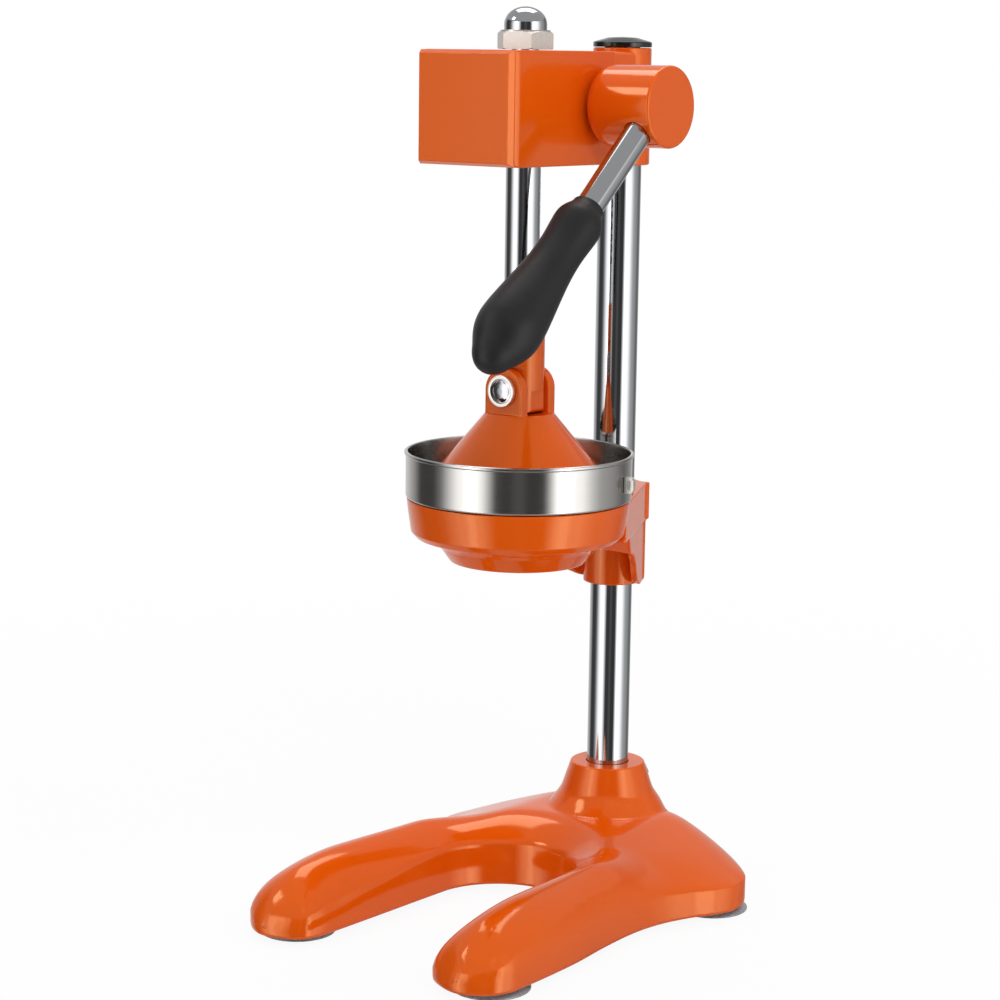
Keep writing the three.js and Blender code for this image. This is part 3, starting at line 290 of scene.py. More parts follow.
def hexagon(flats):
    corner = flats / 2 / math.cos(math.pi / 6)
    turns = [k * math.pi / 3 for k in range(6)]
    return [(corner * math.cos(a), corner * math.sin(a)) for a in turns]


def smooth_point(p0, p1, p2, p3, t):
    """A place between p1 and p2 on the smooth line through all four."""
    return 0.5 * (
        2 * p1
        + (p2 - p0) * t
        + (2 * p0 - 5 * p1 + 4 * p2 - p3) * t * t
        + (3 * p1 - p0 - 3 * p2 + p3) * t ** 3
    )


def baked(piece):
    """The piece with its modifiers turned into mesh."""
    bpy.context.view_layer.update()
    graph = bpy.context.evaluated_depsgraph_get()
    mesh = bpy.data.meshes.new_from_object(piece.evaluated_get(graph))
    piece.modifiers.clear()
    old = piece.data
    piece.data = mesh
    bpy.data.meshes.remove(old)
    return piece


def eased_edges(piece, width, segments, angle=30):
    """The edges sharper than an angle in degrees rounded, and baked."""
    ease = piece.modifiers.new("edges", "BEVEL")
    ease.width = width * MM
    ease.segments = segments
    ease.limit_method = "ANGLE"
    ease.angle_limit = math.radians(angle)
    return baked(piece)


def cut_with(piece, tool, operation):
    """One Boolean with another object, which is used up."""
    step = piece.modifiers.new("cut", "BOOLEAN")
    step.operation = operation
    step.solver = "EXACT"
    step.object = tool
    baked(piece)
    bpy.data.objects.remove(tool)


def carve(piece, others, operation="DIFFERENCE"):
    """Booleans with other shapes, in order, applied."""
    for shape in others:
        cut_with(piece, rough_object("tool", shape), operation)
    return piece


def cast_skin(piece, voxel, rounds):
    """One skin over joined solids, with the small fillets of a casting."""
    skin = piece.modifiers.new("skin", "REMESH")
    skin.mode = "VOXEL"
    skin.voxel_size = voxel * MM
    skin.use_smooth_shade = True
    ease = piece.modifiers.new("fillets", "SMOOTH")
    ease.factor = 0.5
    ease.iterations = rounds
    return baked(piece)


# Finishes


class Value:
    """A number socket with Python's arithmetic."""

    def __init__(self, finish, socket):
        self.finish = finish
        self.socket = socket

    def maths(self, operation, *inputs):
        node = self.finish.node("ShaderNodeMath", {"operation": operation}, *inputs)
        return Value(self.finish, node.outputs[0])

    def at_most(self, limit):
        return self.maths("MINIMUM", self, limit)

    def __add__(self, other):
        return self.maths("ADD", self, other)

    __radd__ = __add__

    def __mul__(self, other):
        return self.maths("MULTIPLY", self, other)

    __rmul__ = __mul__

    def __truediv__(self, other):
        return self.maths("DIVIDE", self, other)

    def __rtruediv__(self, other):
        return self.maths("DIVIDE", other, self)


class Nodes:
    """A node tree, with the one way to add a node."""

    def __init__(self, tree):
        self.tree = tree
        self.tree.nodes.clear()

    def node(self, kind, settings=None, *inputs, **named):
        node = self.tree.nodes.new(kind)
        for key, value in (settings or {}).items():
            if key == "stops":
                self.stops(node, value)
            else:
                setattr(node, key, value)
        for index, value in enumerate(inputs):
            self.feed(node.inputs[index], value)
        for key, value in named.items():
            self.feed(node.inputs[key.replace("_", " ")], value)
        return node

    def stops(self, node, stops):
        ramp = node.color_ramp
        while len(ramp.elements) < len(stops):
            ramp.elements.new(0.5)
        for element, (position, colour) in zip(ramp.elements, stops):
            element.position = position
            element.color = colour

    def feed(self, socket, value):
        if isinstance(value, Value):
            value = value.socket
        if isinstance(value, bpy.types.NodeSocket):
            self.tree.links.new(value, socket)
        else:
            socket.default_value = value


class Finish(Nodes):
    """A procedural material."""

    def __init__(self, name, **fixed):
        self.material = bpy.data.materials.new(name)
        self.material.use_nodes = True
        super().__init__(self.material.node_tree)
        self.shader = self.node("ShaderNodeBsdfPrincipled", {}, **fixed)
        self.out = self.node("ShaderNodeOutputMaterial", {}, Surface=self.shader.outputs[0])
        self.place = self.node("ShaderNodeTexCoord").outputs["Object"]

    def noise(self, scale, detail=3.0, roughness=0.5, place=None):
        node = self.node(
            "ShaderNodeTexNoise", {"noise_dimensions": "3D"},
            Vector=place or self.place, Scale=scale, Detail=detail, Roughness=roughness,
        )
        return Value(self, node.outputs["Fac"])

    def stretched(self, x, y, z):
        node = self.node(
            "ShaderNodeVectorMath", {"operation": "MULTIPLY"}, self.place, (x, y, z),
        )
        return node.outputs[0]

    def between(self, share, first, second):
        node = self.node("ShaderNodeMix", {"data_type": "RGBA"})
        self.feed(node.inputs[0], share)
        self.feed(node.inputs[6], first)
        self.feed(node.inputs[7], second)
        return node.outputs[2]

    def ramp(self, share, *stops):
        node = self.node("ShaderNodeMapRange", {"clamp": True}, share, *stops)
        return Value(self, node.outputs[0])

    def bump(self, height, strength, distance):
        node = self.node("ShaderNodeBump", {}, Strength=strength, Distance=distance, Height=height)
        self.feed(self.shader.inputs["Normal"], node.outputs[0])

    def set(self, name, value):
        self.feed(self.shader.inputs[name], value)

    def clouded(self, share, dark, light, smooth, rough):
        """Colour and roughness that drift together over the surface."""
        self.set("Base Color", self.between(share, linear(*dark), linear(*light)))
        self.set("Roughness", self.ramp(share, 0.3, 0.7, smooth, rough))


def linear(r, g, b):
    """A colour given as it looks on a screen, 0 to 255."""
    def one(v):
        v /= 255
        return v / 12.92 if v <= 0.04045 else ((v + 0.055) / 1.055) ** 2.4

    return (one(r), one(g), one(b), 1.0)


def orange_enamel():
    finish = Finish(
        "orange enamel", **{"IOR": 1.72, "Specular Tint": (1.0, 0.7, 0.36, 1.0)},
    )
    cloud = finish.noise(9.0, 2.0)
    finish.set("Base Color", finish.between(cloud, linear(223, 83, 4), linear(230, 92, 8)))
    finish.set("Roughness", finish.ramp(finish.noise(60.0, 4.0), 0.3, 0.7, 0.09, 0.14))
    finish.bump(finish.noise(420.0, 2.0), 0.05, 0.0002)
    return finish.material


def polished_chrome():
    finish = Finish("polished chrome", Metallic=1.0)
    haze = finish.noise(35.0, 5.0, 0.6)
    finish.set("Base Color", finish.between(haze, linear(176, 177, 180), linear(186, 187, 189)))
    streak = finish.noise(1.0, 4.0, 0.6, finish.stretched(300.0, 300.0, 25.0))
    finish.set("Roughness", finish.ramp(streak, 0.35, 0.75, 0.045, 0.1))
    finish.bump(finish.noise(1.0, 3.0, 0.5, finish.stretched(160.0, 160.0, 30.0)), 0.02, 0.0002)
    return finish.material


def turned_steel():
    finish = Finish(
        "turned steel", Metallic=1.0, Anisotropic=0.8, **{"Anisotropic Rotation": 0.25}
    )
    lines = finish.noise(1.0, 3.0, 0.7, finish.stretched(30.0, 30.0, 2600.0))
    finish.clouded(lines, (176, 174, 170), (188, 186, 183), 0.19, 0.24)
    finish.bump(lines, 0.015, 0.0001)
    return finish.material


def grained_metal(name, scale, detail, relief, *looks):
    """Bare metal whose fine grain tints it, dulls it and stands up a little."""
    finish = Finish(name, Metallic=1.0)
    grain = finish.noise(scale, detail, 0.6)
    finish.clouded(grain, *looks)
    finish.bump(grain, relief, 0.0001)
    return finish.material


def satin_steel():
    looks = (186, 178, 170), (204, 198, 191), 0.26, 0.36
    return grained_metal("satin steel", 900.0, 3.0, 0.06, *looks)


def bright_zinc():
    looks = (238, 234, 226), (248, 245, 238), 0.34, 0.44
    return grained_metal("bright zinc", 800.0, 3.0, 0.05, *looks)


def bearing_bronze():
    looks = (150, 108, 56), (182, 138, 78), 0.3, 0.45
    return grained_metal("bearing bronze", 700.0, 4.0, 0.1, *looks)


def cast_alloy():
    looks = (176, 177, 178), (204, 205, 206), 0.25, 0.4
    return grained_metal("cast alloy", 500.0, 5.0, 0.12, *looks)


def black_cap():
    finish = Finish("gloss black plastic", IOR=1.5)
    finish.clouded(finish.noise(80.0, 3.0), (14, 16, 18), (24, 26, 29), 0.1, 0.18)
    finish.bump(finish.noise(900.0, 2.0), 0.04, 0.0001)
    return finish.material


def black_grip():
    finish = Finish("black grip", **{"IOR": 1.48, "Specular IOR Level": 0.3})
    finish.clouded(finish.noise(60.0, 4.0), (22, 22, 24), (30, 30, 32), 0.42, 0.52)
    finish.bump(finish.noise(1500.0, 3.0, 0.6), 0.1, 0.0001)
    return finish.material


def grey_foot():
    finish = Finish("clear grey rubber", **{"IOR": 1.45, "Transmission Weight": 0.35})
    cloud = finish.noise(120.0, 3.0)
    finish.clouded(cloud, (150, 155, 160), (172, 177, 182), 0.22, 0.34)
    finish.bump(cloud, 0.05, 0.0002)
    return finish.material


ENAMEL = orange_enamel()
CHROME = polished_chrome()
STRAINER_STEEL = turned_steel()
STEEL = satin_steel()
BRIGHT_ZINC = bright_zinc()
BRONZE = bearing_bronze()
ALLOY = cast_alloy()
CAP_BLACK = black_cap()
GRIP_BLACK = black_grip()
FOOT_GREY = grey_foot()


# Base casting

HALF_WIDTH = 98.8
TOE = 127.2
HEEL = 122.0
BAY = 38.5
BAY_CENTRE = 11.0
TOE_CENTRE = 64.0
CAST_WALL = 4.0
COLLAR_TOP = 62.0
COLLAR_RADIUS = 20.4
RING_RADIUS = 22.0
RING_SIDES = 96
FEET = {
    "base_foot_front_right": (65.0, -99.0),
    "base_foot_front_left": (-65.0, -99.0),
    "base_foot_rear_right": (78.0, 74.0),
    "base_foot_rear_left": (-78.0, 74.0),
}
OUTER_SHARES = [
    (0, 1), (0.192, 0.995), (0.385, 0.971), (0.577, 0.918), (0.739, 0.844), (0.8755, 0.754),
    (0.9666, 0.664), (1, 0.557), (0.9696, 0.4508), (0.8947, 0.336), (0.834, 0.1885),
    (0.8097, 0.0164), (0.8219, -0.1887), (0.8532, -0.4088), (0.8654, -0.5896), (0.868, -0.765),
    (0.86, -0.862), (0.8, -0.944),
]
INNER_SHARES = [
    (0.004, -0.173), (0.012, -0.299), (0.016, -0.456), (0.024, -0.613), (0.035, -0.739),
    (0.06, -0.855), (0.27, -0.945),
]


def rail(knots, after, steps):
    """A smooth line through the knots and on to the tip of the leg."""
    tip = Vector((TOE_CENTRE, -TOE))
    points = [Vector((-knots[1].x, knots[1].y)), *knots, tip, after]
    out = []
    for i in range(1, len(points) - 2):
        out += [smooth_point(*points[i - 1:i + 3], k / steps) for k in range(steps)]
    out.append(tip)
    return out


def base_rails(steps):
    """The right half's outer and inner edge, each from the middle to the leg's tip."""
    outer = [Vector((x * HALF_WIDTH, y * (HEEL if y > 0 else TOE))) for x, y in OUTER_SHARES]
    turns = len(OUTER_SHARES) - len(INNER_SHARES) - 1
    inner = []
    for k in range(turns + 1):
        a = math.pi / 2 * (1 - k / turns)
        inner.append(Vector((BAY * math.cos(a), BAY * math.sin(a) - BAY_CENTRE)))
    inner += [Vector((BAY + x * (TOE_CENTRE - BAY), y * TOE)) for x, y in INNER_SHARES]
    return rail(outer, inner[-1], steps), rail(inner, outer[-1], steps)


def both_sides(half):
    """A rail from the left leg's tip round to the right leg's."""
    return np.array([(-p.x, p.y) for p in half[:0:-1]] + [(p.x, p.y) for p in half])


OUTER_EDGE, INNER_EDGE = (both_sides(half) for half in base_rails(5))


def ease(value, low, high):
    share = np.clip((value - low) / (high - low), 0.0, 1.0)
    return share * share * (3 - 2 * share)


def eased_rise(value, soft):
    """Nothing below zero, the value itself above, with a soft bend between."""
    return 0.5 * (value + np.sqrt(value * value + soft * soft))


def edge_distance(edge, places):
    """How far places lie from an edge of the casting, evened out well inside it."""
    near = np.full(len(places), 1e9)
    pull = np.zeros(len(places))
    for a, b in zip(edge, edge[1:]):
        side = b - a
        square = side @ side
        along = np.clip((places - a) @ side / square, 0.0, 1.0)
        near = np.minimum(near, ((places - a - along[:, None] * side) ** 2).sum(1))
        middle = ((places - (a + b) / 2) ** 2).sum(1)
        pull += math.sqrt(square) / np.maximum(middle, 1.0) ** 2.5
    near = np.sqrt(near)
    share = ease(near, 3.0, 8.0)
    return near * (1 - share) + (4 / 3 / pull) ** 0.25 * share


# The collar's cone and the flare under it, as (radius, height).
FLARE = np.array(
    [
        (COLLAR_RADIUS, COLLAR_TOP), (23.0, 54.35), (25.5, 47.0), (28.2, 42.6), (30.4, 39.2),
        (32.3, 34.9), (34.0, 28.9), (35.3, 21.3), (35.9, 14.0), (37.0, 2.0), (60.0, -250.0),
    ]
)


def flare_level(radius):
    """Height of the flare at a distance from the column's axis."""
    r, z = FLARE.T
    slopes = np.gradient(z, r)
    radius = np.maximum(radius, r[0])
    k = np.clip(np.searchsorted(r, radius) - 1, 0, len(r) - 2)
    width = r[k + 1] - r[k]
    t = (radius - r[k]) / width
    return (
        z[k] * (1 + 2 * t) * (1 - t) ** 2
        + slopes[k] * width * t * (1 - t) ** 2
        + z[k + 1] * t * t * (3 - 2 * t)
        + slopes[k + 1] * width * t * t * (t - 1)
    )


def base_level(places, collar=True):
    """Height of the base's top over the casting's lower edge.

    A low upright wall runs round the outline. From it the top swells to a crown, reached one
    shoulder's width in from either edge, and both come down towards the toes.
    """
    shoulder, fullness, leanness = 31.0, 1.65, 2.2
    bite_radius, blend_width = 3.0, 6.0
    x, y = np.abs(places[:, 0]), places[:, 1]
    out = edge_distance(OUTER_EDGE, places)
    into = edge_distance(INNER_EDGE, places)
    across = out / (out + into + 1e-9)
    toe = np.clip((60 - TOE - y) / 60, 0.0, 1.0) ** 2
    upright = 14 + (10 - 0.145 * eased_rise(-y - 20, 10)) * across
    skirt = upright * (1 - 0.6 * toe)
    crown = 38.4 - 0.34 * eased_rise(x - 36, 6) * ease(y, -10, 40) - 12 * toe
    left_out = 1 - np.minimum(1.0, out / shoulder)
    left_in = 1 - np.minimum(1.0, into / shoulder)
    round_out = (1 - left_out ** fullness) ** (1 / fullness)
    ridge = 1 - left_in ** leanness
    blunt = ease(-y, 90, 121)
    round_in = ridge + ((1 - left_in ** fullness) ** (1 / fullness) - ridge) * blunt
    gap = np.sqrt((round_out - round_in) ** 2 + 0.02 * round_out * round_in)
    rise = 0.5 * (round_out + round_in - gap)
    bite = np.clip(bite_radius - into, 0.0, bite_radius)
    bite_drop = bite_radius - np.sqrt(bite_radius ** 2 - bite ** 2)
    level = skirt + (crown - skirt) * rise - bite_drop * (1 - blunt)
    if collar:
        flare = flare_level(np.hypot(x, y - THROAT))
        blend = np.maximum(blend_width - np.abs(level - flare), 0.0)
        level = np.maximum(level, flare) + blend * blend / (4 * blend_width)
    return level


def upward_normals(places, step=0.05):
    """Directions square to the base's top."""
    ahead, aside = np.array([step, 0.0]), np.array([0.0, step])
    slope_x = (base_level(places + ahead) - base_level(places - ahead)) / (2 * step)
    slope_y = (base_level(places + aside) - base_level(places - aside)) / (2 * step)
    return [Vector((-a, -b, 1.0)).normalized() for a, b in zip(slope_x, slope_y)]


def collar_point(radius, angle):
    return Vector((radius * math.cos(angle), THROAT + radius * math.sin(angle)))


def base_top(loop, outer, inner):
    """Places over the base's top, fine along its edges and round the collar, joined up."""
    ring_spacing, flare_reach, lane_width = 0.9, 38.6, 1.8
    step = 2 * math.pi / RING_SIDES
    count = len(loop)
    flat = loop + [collar_point(RING_RADIUS, k * step) for k in range(RING_SIDES)]
    edges = [(i, (i + 1) % count) for i in range(count)]
    edges += [(count + i, count + (i + 1) % RING_SIDES) for i in range(RING_SIDES)]
    for row, radius in enumerate(np.arange(22.8, flare_reach, ring_spacing)):
        for k in range(RING_SIDES):
            place = collar_point(radius, (k + 0.5 * (row % 2)) * step)
            if place.y < HEEL - 2.0:
                flat.append(place)
    for side in (1, -1):
        for i in range(1 if side < 0 else 0, len(outer) - 1):
            lanes = max(6, min(34, int((outer[i] - inner[i]).length / lane_width)))
            for j in range(1, lanes):
                share = (1 - math.cos(math.pi * j / lanes)) / 2
                place = outer[i].lerp(inner[i], share)
                if math.hypot(place.x, place.y - THROAT) > 39.3:
                    flat.append(Vector((place.x * side, place.y)))
    done = delaunay_2d_cdt(flat, edges, [], 1, 1e-5)
    faces = []
    for face in done[2]:
        middle = sum((done[0][i] for i in face), Vector((0, 0))) / len(face)
        if math.hypot(middle.x, middle.y - THROAT) > RING_RADIUS - 0.05:
            faces.append(list(face))
    return done[0], faces


def base_casting():
    """The horseshoe base: top, wall and hollow underside in one skin, and the collar."""
    outer, inner = base_rails(7)
    way = outer + inner[-2::-1]
    loop = way + [Vector((-p.x, p.y)) for p in way[-2:0:-1]]
    count = len(loop)
    outward = []
    for i in range(count):
        run = (loop[(i + 1) % count] - loop[i - 1]).normalized()
        outward.append(Vector((-run.y, run.x, 0.0)))
    points, faces = base_top(loop, outer, inner)
    places = np.array([tuple(p) for p in points])
    verts = [(p.x, p.y, z) for p, z in zip(points, base_level(places))]
    normals = upward_normals(places)
    for i, way_out in enumerate(outward):
        normals[i] = (way_out + Vector((0, 0, 0.2))).normalized()

    def add(vertex, normal):
        verts.append(vertex)
        normals.append(normal)
        return len(verts) - 1

    def strip(upper, lower):
        for i in range(len(upper)):
            n = (i + 1) % len(upper)
            faces.append([upper[i], upper[n], lower[n], lower[i]])
        return lower

    # The upright wall, its small rounded lower edge and the rim it stands on.
    edge = list(range(count))
    for drop, back, tilt in ((2.4, 0.0, 0.0), (0.7, 0.25, 0.5), (0.2, 0.8, 1.5), (0.0, 1.5, 9.0)):
        row = []
        for point, way_out in zip(loop, outward):
            base = point - way_out.xy * back
            row.append(add((base.x, base.y, drop), (way_out - Vector((0, 0, tilt))).normalized()))
        edge = strip(edge, row)

    # The hollow underneath: its outline, with a straight end short of each leg's tip.
    tail = 8
    end = len(outer) - 1 - tail
    under = [p - way_out.xy * CAST_WALL for p, way_out in zip(way, outward)]
    first, last = under[end], under[end + 2 * tail]
    for k in range(1, 2 * tail):
        under[end + k] = first.lerp(last, k / (2 * tail))
    hollow = under + [Vector((-p.x, p.y)) for p in under[-2:0:-1]]
    inward = [Vector((-w.x, -w.y, 0.0)) for w in outward]
    edge = strip(edge, [add((p.x, p.y, 0.0), Vector((0, 0, -1))) for p in hollow])
    low = [add((p.x, p.y, 0.0), w) for p, w in zip(hollow, inward)]

    # Its ceiling follows the top, a wall's thickness lower.
    grid = []
    for i in range(end + 1):
        start, stop = under[i], under[2 * (len(outer) - 1) - i]
        grid += [start.lerp(stop, j / (2 * tail)) for j in range(2 * tail + 1)]
    top = base_level(np.array([tuple(p) for p in grid]), False)
    levels = np.maximum(6.0, top - CAST_WALL - 0.5)
    columns = 2 * tail + 1
    down = Vector((0, 0, -1))
    halves = []
    for side in (1, -1):
        half = [
            halves[0][k] if side < 0 and k < columns else add((p.x * side, p.y, z), down)
            for k, (p, z) in enumerate(zip(grid, levels))
        ]
        for i in range(end):
            for j in range(columns - 1):
                k = i * columns + j
                face = [half[k], half[k + 1], half[k + columns + 1], half[k + columns]]
                faces.append(face if side > 0 else face[::-1])
        halves.append(half)
    around = []
    for half in halves:
        around.append(
            [half[i * columns] for i in range(end + 1)]
            + [half[end * columns + j] for j in range(1, columns - 1)]
            + [half[i * columns + columns - 1] for i in range(end, -1, -1)]
        )
    strip(low, around[0] + around[1][-2:0:-1])

    # Collar: the upper cone, its rounded rim, the flat and the bore.
    start = (RING_RADIUS, float(flare_level(np.array([RING_RADIUS]))[0]))
    rim = [(COLLAR_RADIUS, COLLAR_TOP, 1.1), (COLUMN_BORE, COLLAR_TOP, 0.5), (COLUMN_BORE, 54.0)]
    profile = softened([start, *rim])
    ring = [count + i for i in range(RING_SIDES)]
    for k in range(1, len(profile)):
        (r0, z0), (r1, z1) = profile[k - 1], profile[k]
        r2, z2 = profile[k + 1] if k + 1 < len(profile) else (r1, z1 - 1)
        slope = Vector((r2 - r0, z2 - z0)).normalized()
        row = []
        for i in range(RING_SIDES):
            a = 2 * math.pi * i / RING_SIDES
            out = Vector((math.cos(a), math.sin(a), 0))
            normal = (out * slope.y + Vector((0, 0, -slope.x))).normalized()
            row.append(add((r1 * out.x, THROAT + r1 * out.y, z1), normal))
        ring = strip(ring, row)
    return finish_mesh(
        "base_shell", verts, faces, ENAMEL, "stand", ["base_casting"], "orange_paint",
        normals=normals,
    )


base_casting()
boss = together(
    moved(turned([(0, 5.0), (19, 5.0, 1.5), (19, 30.0), (0, 30.0)], 64), shift(0, THROAT)),
    *[
        moved(turned([(3.6, 0.4), (7.5, 0.4, 0.8), (7.5, 16), (3.6, 16)], 40), shift(x, y))
        for x, y in FEET.values()
    ],
)
finish_mesh("base_bosses", *boss, ENAMEL, "stand", slot="orange_paint")

# Feet

FOOT = [
    (0, -2.0), (12, -2.0, 2), (15.5, -4.0, 0.4), (20, -4.0, 0.7), (20, -3.0, 0.5),
    (12, -0.35, 3), (3, -0.35, 0.4), (3, 11.2, 0.5), (0, 11.2),
]
for node, (x, y) in FEET.items():
    finish_mesh(
        node.replace("base_foot", "suction_foot"), *moved(turned(FOOT, 72), shift(x, y)),
        FOOT_GREY, "stand", [node], "foot_rubber",
    )

# Column, cap and clamp bolts

COLUMN = [
    (9.95, 10), (COLUMN_RADIUS, 10, 0.3), (COLUMN_RADIUS, 453, 0.3), (9.95, 453, 0.3),
    (9.95, 10.01),
]
weighted(
    finish_mesh(
        "column_tube", *moved(turned(COLUMN, 128), shift(0, THROAT)), CHROME, "stand",
        ["column"], "column_chrome",
    )
)
CAP = [
    (0, -8.0), (9.6, -8.0, 0.6), (9.6, 0.0), (15.7, 0.0, 0.4), (15.7, 2.7, 0.9), (12.8, 3.55, 1.5),
    (7.8, 4.95, 4.0), (0, 5.4),
]
finish_mesh(
    "column_end_cap", *moved(turned(CAP, 112, 6), shift(0, THROAT, HEAD_TOP + 2.4)),
    CAP_BLACK, "stand", ["column_cap"], "cap_plastic",
)

# The bolts behind the column: how high, and how far back from its axis the head seats.
BASE_BOLT = (49.0, 27.4)
HEAD_BOLT = (HEAD + 28, 17.5)
FUNNEL_BOLT = (FUNNEL_RIM - 33, 13.0)


def clamp_bolt(name, node, level, seat):
    """A hexagon bolt that clamps a casting on the column from behind."""
    head = slab(hexagon(9.5), seat + GAP, seat + GAP + 5.3, edge=0.5, steps=3)
    shank = plug(3, 12, seat + 2, 32)
    bolt = moved(together(head, shank), shift(0, THROAT, level) @ ALONG_REAR)
    weighted(finish_mesh(name, *bolt, STEEL, "stand", [node], "steel"))


clamp_bolt("base_clamp_bolt", "base_collar_bolt", *BASE_BOLT)
clamp_bolt("head_clamp_bolt", "head_collar_bolt", *HEAD_BOLT)
clamp_bolt("funnel_set_bolt", "funnel_clamp_bolt", *FUNNEL_BOLT)


def bolt_pad(level, seat):
    """The round boss on a casting that a clamp bolt's head seats on."""
    pad = turned([(3.4, 8), (7.5, 8), (7.5, seat, 0.7), (3.4, seat, 0.3)], 48, 3)
    return moved(pad, shift(0, THROAT, level) @ ALONG_REAR)


finish_mesh("base_bolt_pad", *bolt_pad(*BASE_BOLT), ENAMEL, "stand", slot="orange_paint")


# Funnel casting


def bracket_plan(margin, front):
    """The bracket seen from above: straight sides from the ring to the clamp."""
    radius = 57.2 - margin
    corner_x = 16 - margin
    rear = THROAT + 12.4 - margin
    corner_y = THROAT + 9
    reach = math.hypot(corner_x, corner_y)
    bearing = math.atan2(corner_y, corner_x) - math.acos(radius / reach)
    tx, ty = radius * math.cos(bearing), radius * math.sin(bearing)
    share = max(0.0, (front - ty) / (corner_y - ty))
    fx, fy = tx + (corner_x - tx) * share, max(front, ty)
    return [
        (fx, fy), (corner_x, corner_y), (corner_x, rear),
        (-corner_x, rear), (-corner_x, corner_y), (-fx, fy),
    ]


FUNNEL = [
    (14, -27), (14, -33.5, 0.8), (35.5, -33.5, 2.4), (41.0, -25.8, 1.0), (43.2, -23.7, 2.0),
    (53.4, -20.6, 1.5), (56.3, -17.4, 1.2), (58.1, -5), (58.6, 0, 0.6), (55.3, 0, 0.4),
    (55.3, -6.7), (54.6, -12.5, 3), (50, -17.2, 6), (38, -20.6, 8), (14, -26.99, 0.5),
]
BOWL = [
    (0, -40), (14, -40), (14, -29.5), (38, -24.9), (50, -20), (54.8, -15), (55.3, -6.7),
    (55.3, 4), (0, 4),
]
BRACKET_SIDE = [
    (44, 199), (50, 188.9), (62, 185), (68, 178.9), (71, 173.4), (75, 168.2), (80, 165.6),
    (84, 164.6), (90, 164.6, 4), (95.2, 164.6, 4), (95.2, 201), (95.2, 221), (44, 221),
]


def funnel_casting():
    """The bowl's ring, and behind it the bracket with its clamp, one skin as cast."""
    z = FUNNEL_RIM
    clamp_low = 164.2
    body = rough_object("bracket", slab(bracket_plan(1.2, 44), 158, z - 21.7))
    carve(body, [moved(slab(softened(BRACKET_SIDE), -60, 60), SIDE_VIEW)], "INTERSECT")
    carve(body, [slab(bracket_plan(0, 0), z - 22, z - 1.5)], "UNION")
    carve(body, [slab(bracket_plan(5.2, 55), 150, z - 5.5)])
    boss = plug(15.5, clamp_low, z - 1.5)
    carve(body, [moved(boss, shift(0, THROAT)), bolt_pad(*FUNNEL_BOLT)], "UNION")
    bore = plug(COLUMN_BORE, 100, 300)
    carve(body, [spun(raised(BOWL, z), 160), moved(bore, shift(0, THROAT))])
    cast_skin(body, 0.6, 3)
    body.name = "funnel_bracket"
    dress(body, ENAMEL, "stand", ["funnel_casting"])
    ring = spun(raised(softened(FUNNEL, 5), z), 200)
    finish_mesh("funnel_ring", *ring, ENAMEL, "stand", slot="orange_paint", sharp=34)


funnel_casting()

# Strainer, lug and reamer

STRAINER = [
    (6.3, -6.4), (52.6, -6.4), (55, -6.4, 1.6), (55, 0.3, 0.3), (59.2, 0.3, 1.6), (59.2, 22.6),
    (60.0, 23.2, 0.5), (60.0, 24.4, 0.5), (59.2, 24.85, 0.3), (58.2, 24.6, 0.3), (58.0, 22.0),
    (58.0, 1.5, 1.0), (53.8, 1.5, 1.0), (53.8, -5.2, 1.0), (6.3, -5.2), (6.3, -6.39),
]


def strainer():
    """The steel cup, its floor pierced in rings, every other ring half a step round."""
    hole_radius, hole_spacing = 1.25, 5.2
    piece = finish_mesh(
        "strainer_shell", *spun(raised(softened(STRAINER), FUNNEL_RIM), 160), STRAINER_STEEL,
        "stand", ["strainer_cup"], "strainer_steel", sharp=50,
    )
    hole = plug(hole_radius, FUNNEL_RIM - 9, FUNNEL_RIM - 2, 10)
    holes = []
    for radius in (36.0, 39.5, 43.0, 46.5, 50.0):
        number = int(2 * math.pi * radius / hole_spacing)
        for k in range(number):
            a = 2 * math.pi * (k + 0.5 * (int(radius * 2) % 2)) / number
            holes.append(moved(hole, shift(radius * math.cos(a), radius * math.sin(a))))
    weighted(carve(piece, [together(*holes)]))


strainer()


def loop_outline(grow):
    """The lug's D shape from the side, flat against the cup, grown or shrunk all round."""
    reach, height = 5.0, 8.5
    radius = reach / 2 + grow
    points = [(-grow, -height / 2 - grow)]
    for first, middle in ((-math.pi / 2, reach / 2 - height / 2), (0.0, height / 2 - reach / 2)):
        for k in range(9):
            a = first + math.pi / 2 * k / 8
            points.append((reach / 2 + radius * math.cos(a), middle + radius * math.sin(a)))
    points.append((-grow, height / 2 + grow))
    return points


def strainer_lug():
    """The small bright loop on the strainer's wall."""
    lug = rough_object("lug_loop", slab(loop_outline(0), -1.5, 1.5))
    carve(lug, [slab(loop_outline(-1.5), -4, 4)])
    eased_edges(lug, 0.45, 3)
    bearing, cup_wall, level = math.radians(15), 59.5, FUNNEL_RIM + 11.4
    lug.data.transform(
        shift(*(TO_MODEL * MM))
        @ shift(cup_wall * MM * math.cos(bearing), cup_wall * MM * math.sin(bearing), level * MM)
        @ turn(bearing, "Z")
        @ turn(math.pi / 2, "X")
        @ shift(*(-TO_MODEL * MM))
    )
    finish_carved(lug, BRIGHT_ZINC, "stand", ["strainer_lug"], 38)


strainer_lug()

# Share of the way up the reamer, and how much of its foot's radius is left there.
REAMER_SHARES = [
    (0, 1), (0.1, 0.96), (0.3, 0.8), (0.5, 0.6), (0.7, 0.38), (0.9, 0.15), (1.0, 0.0),
]


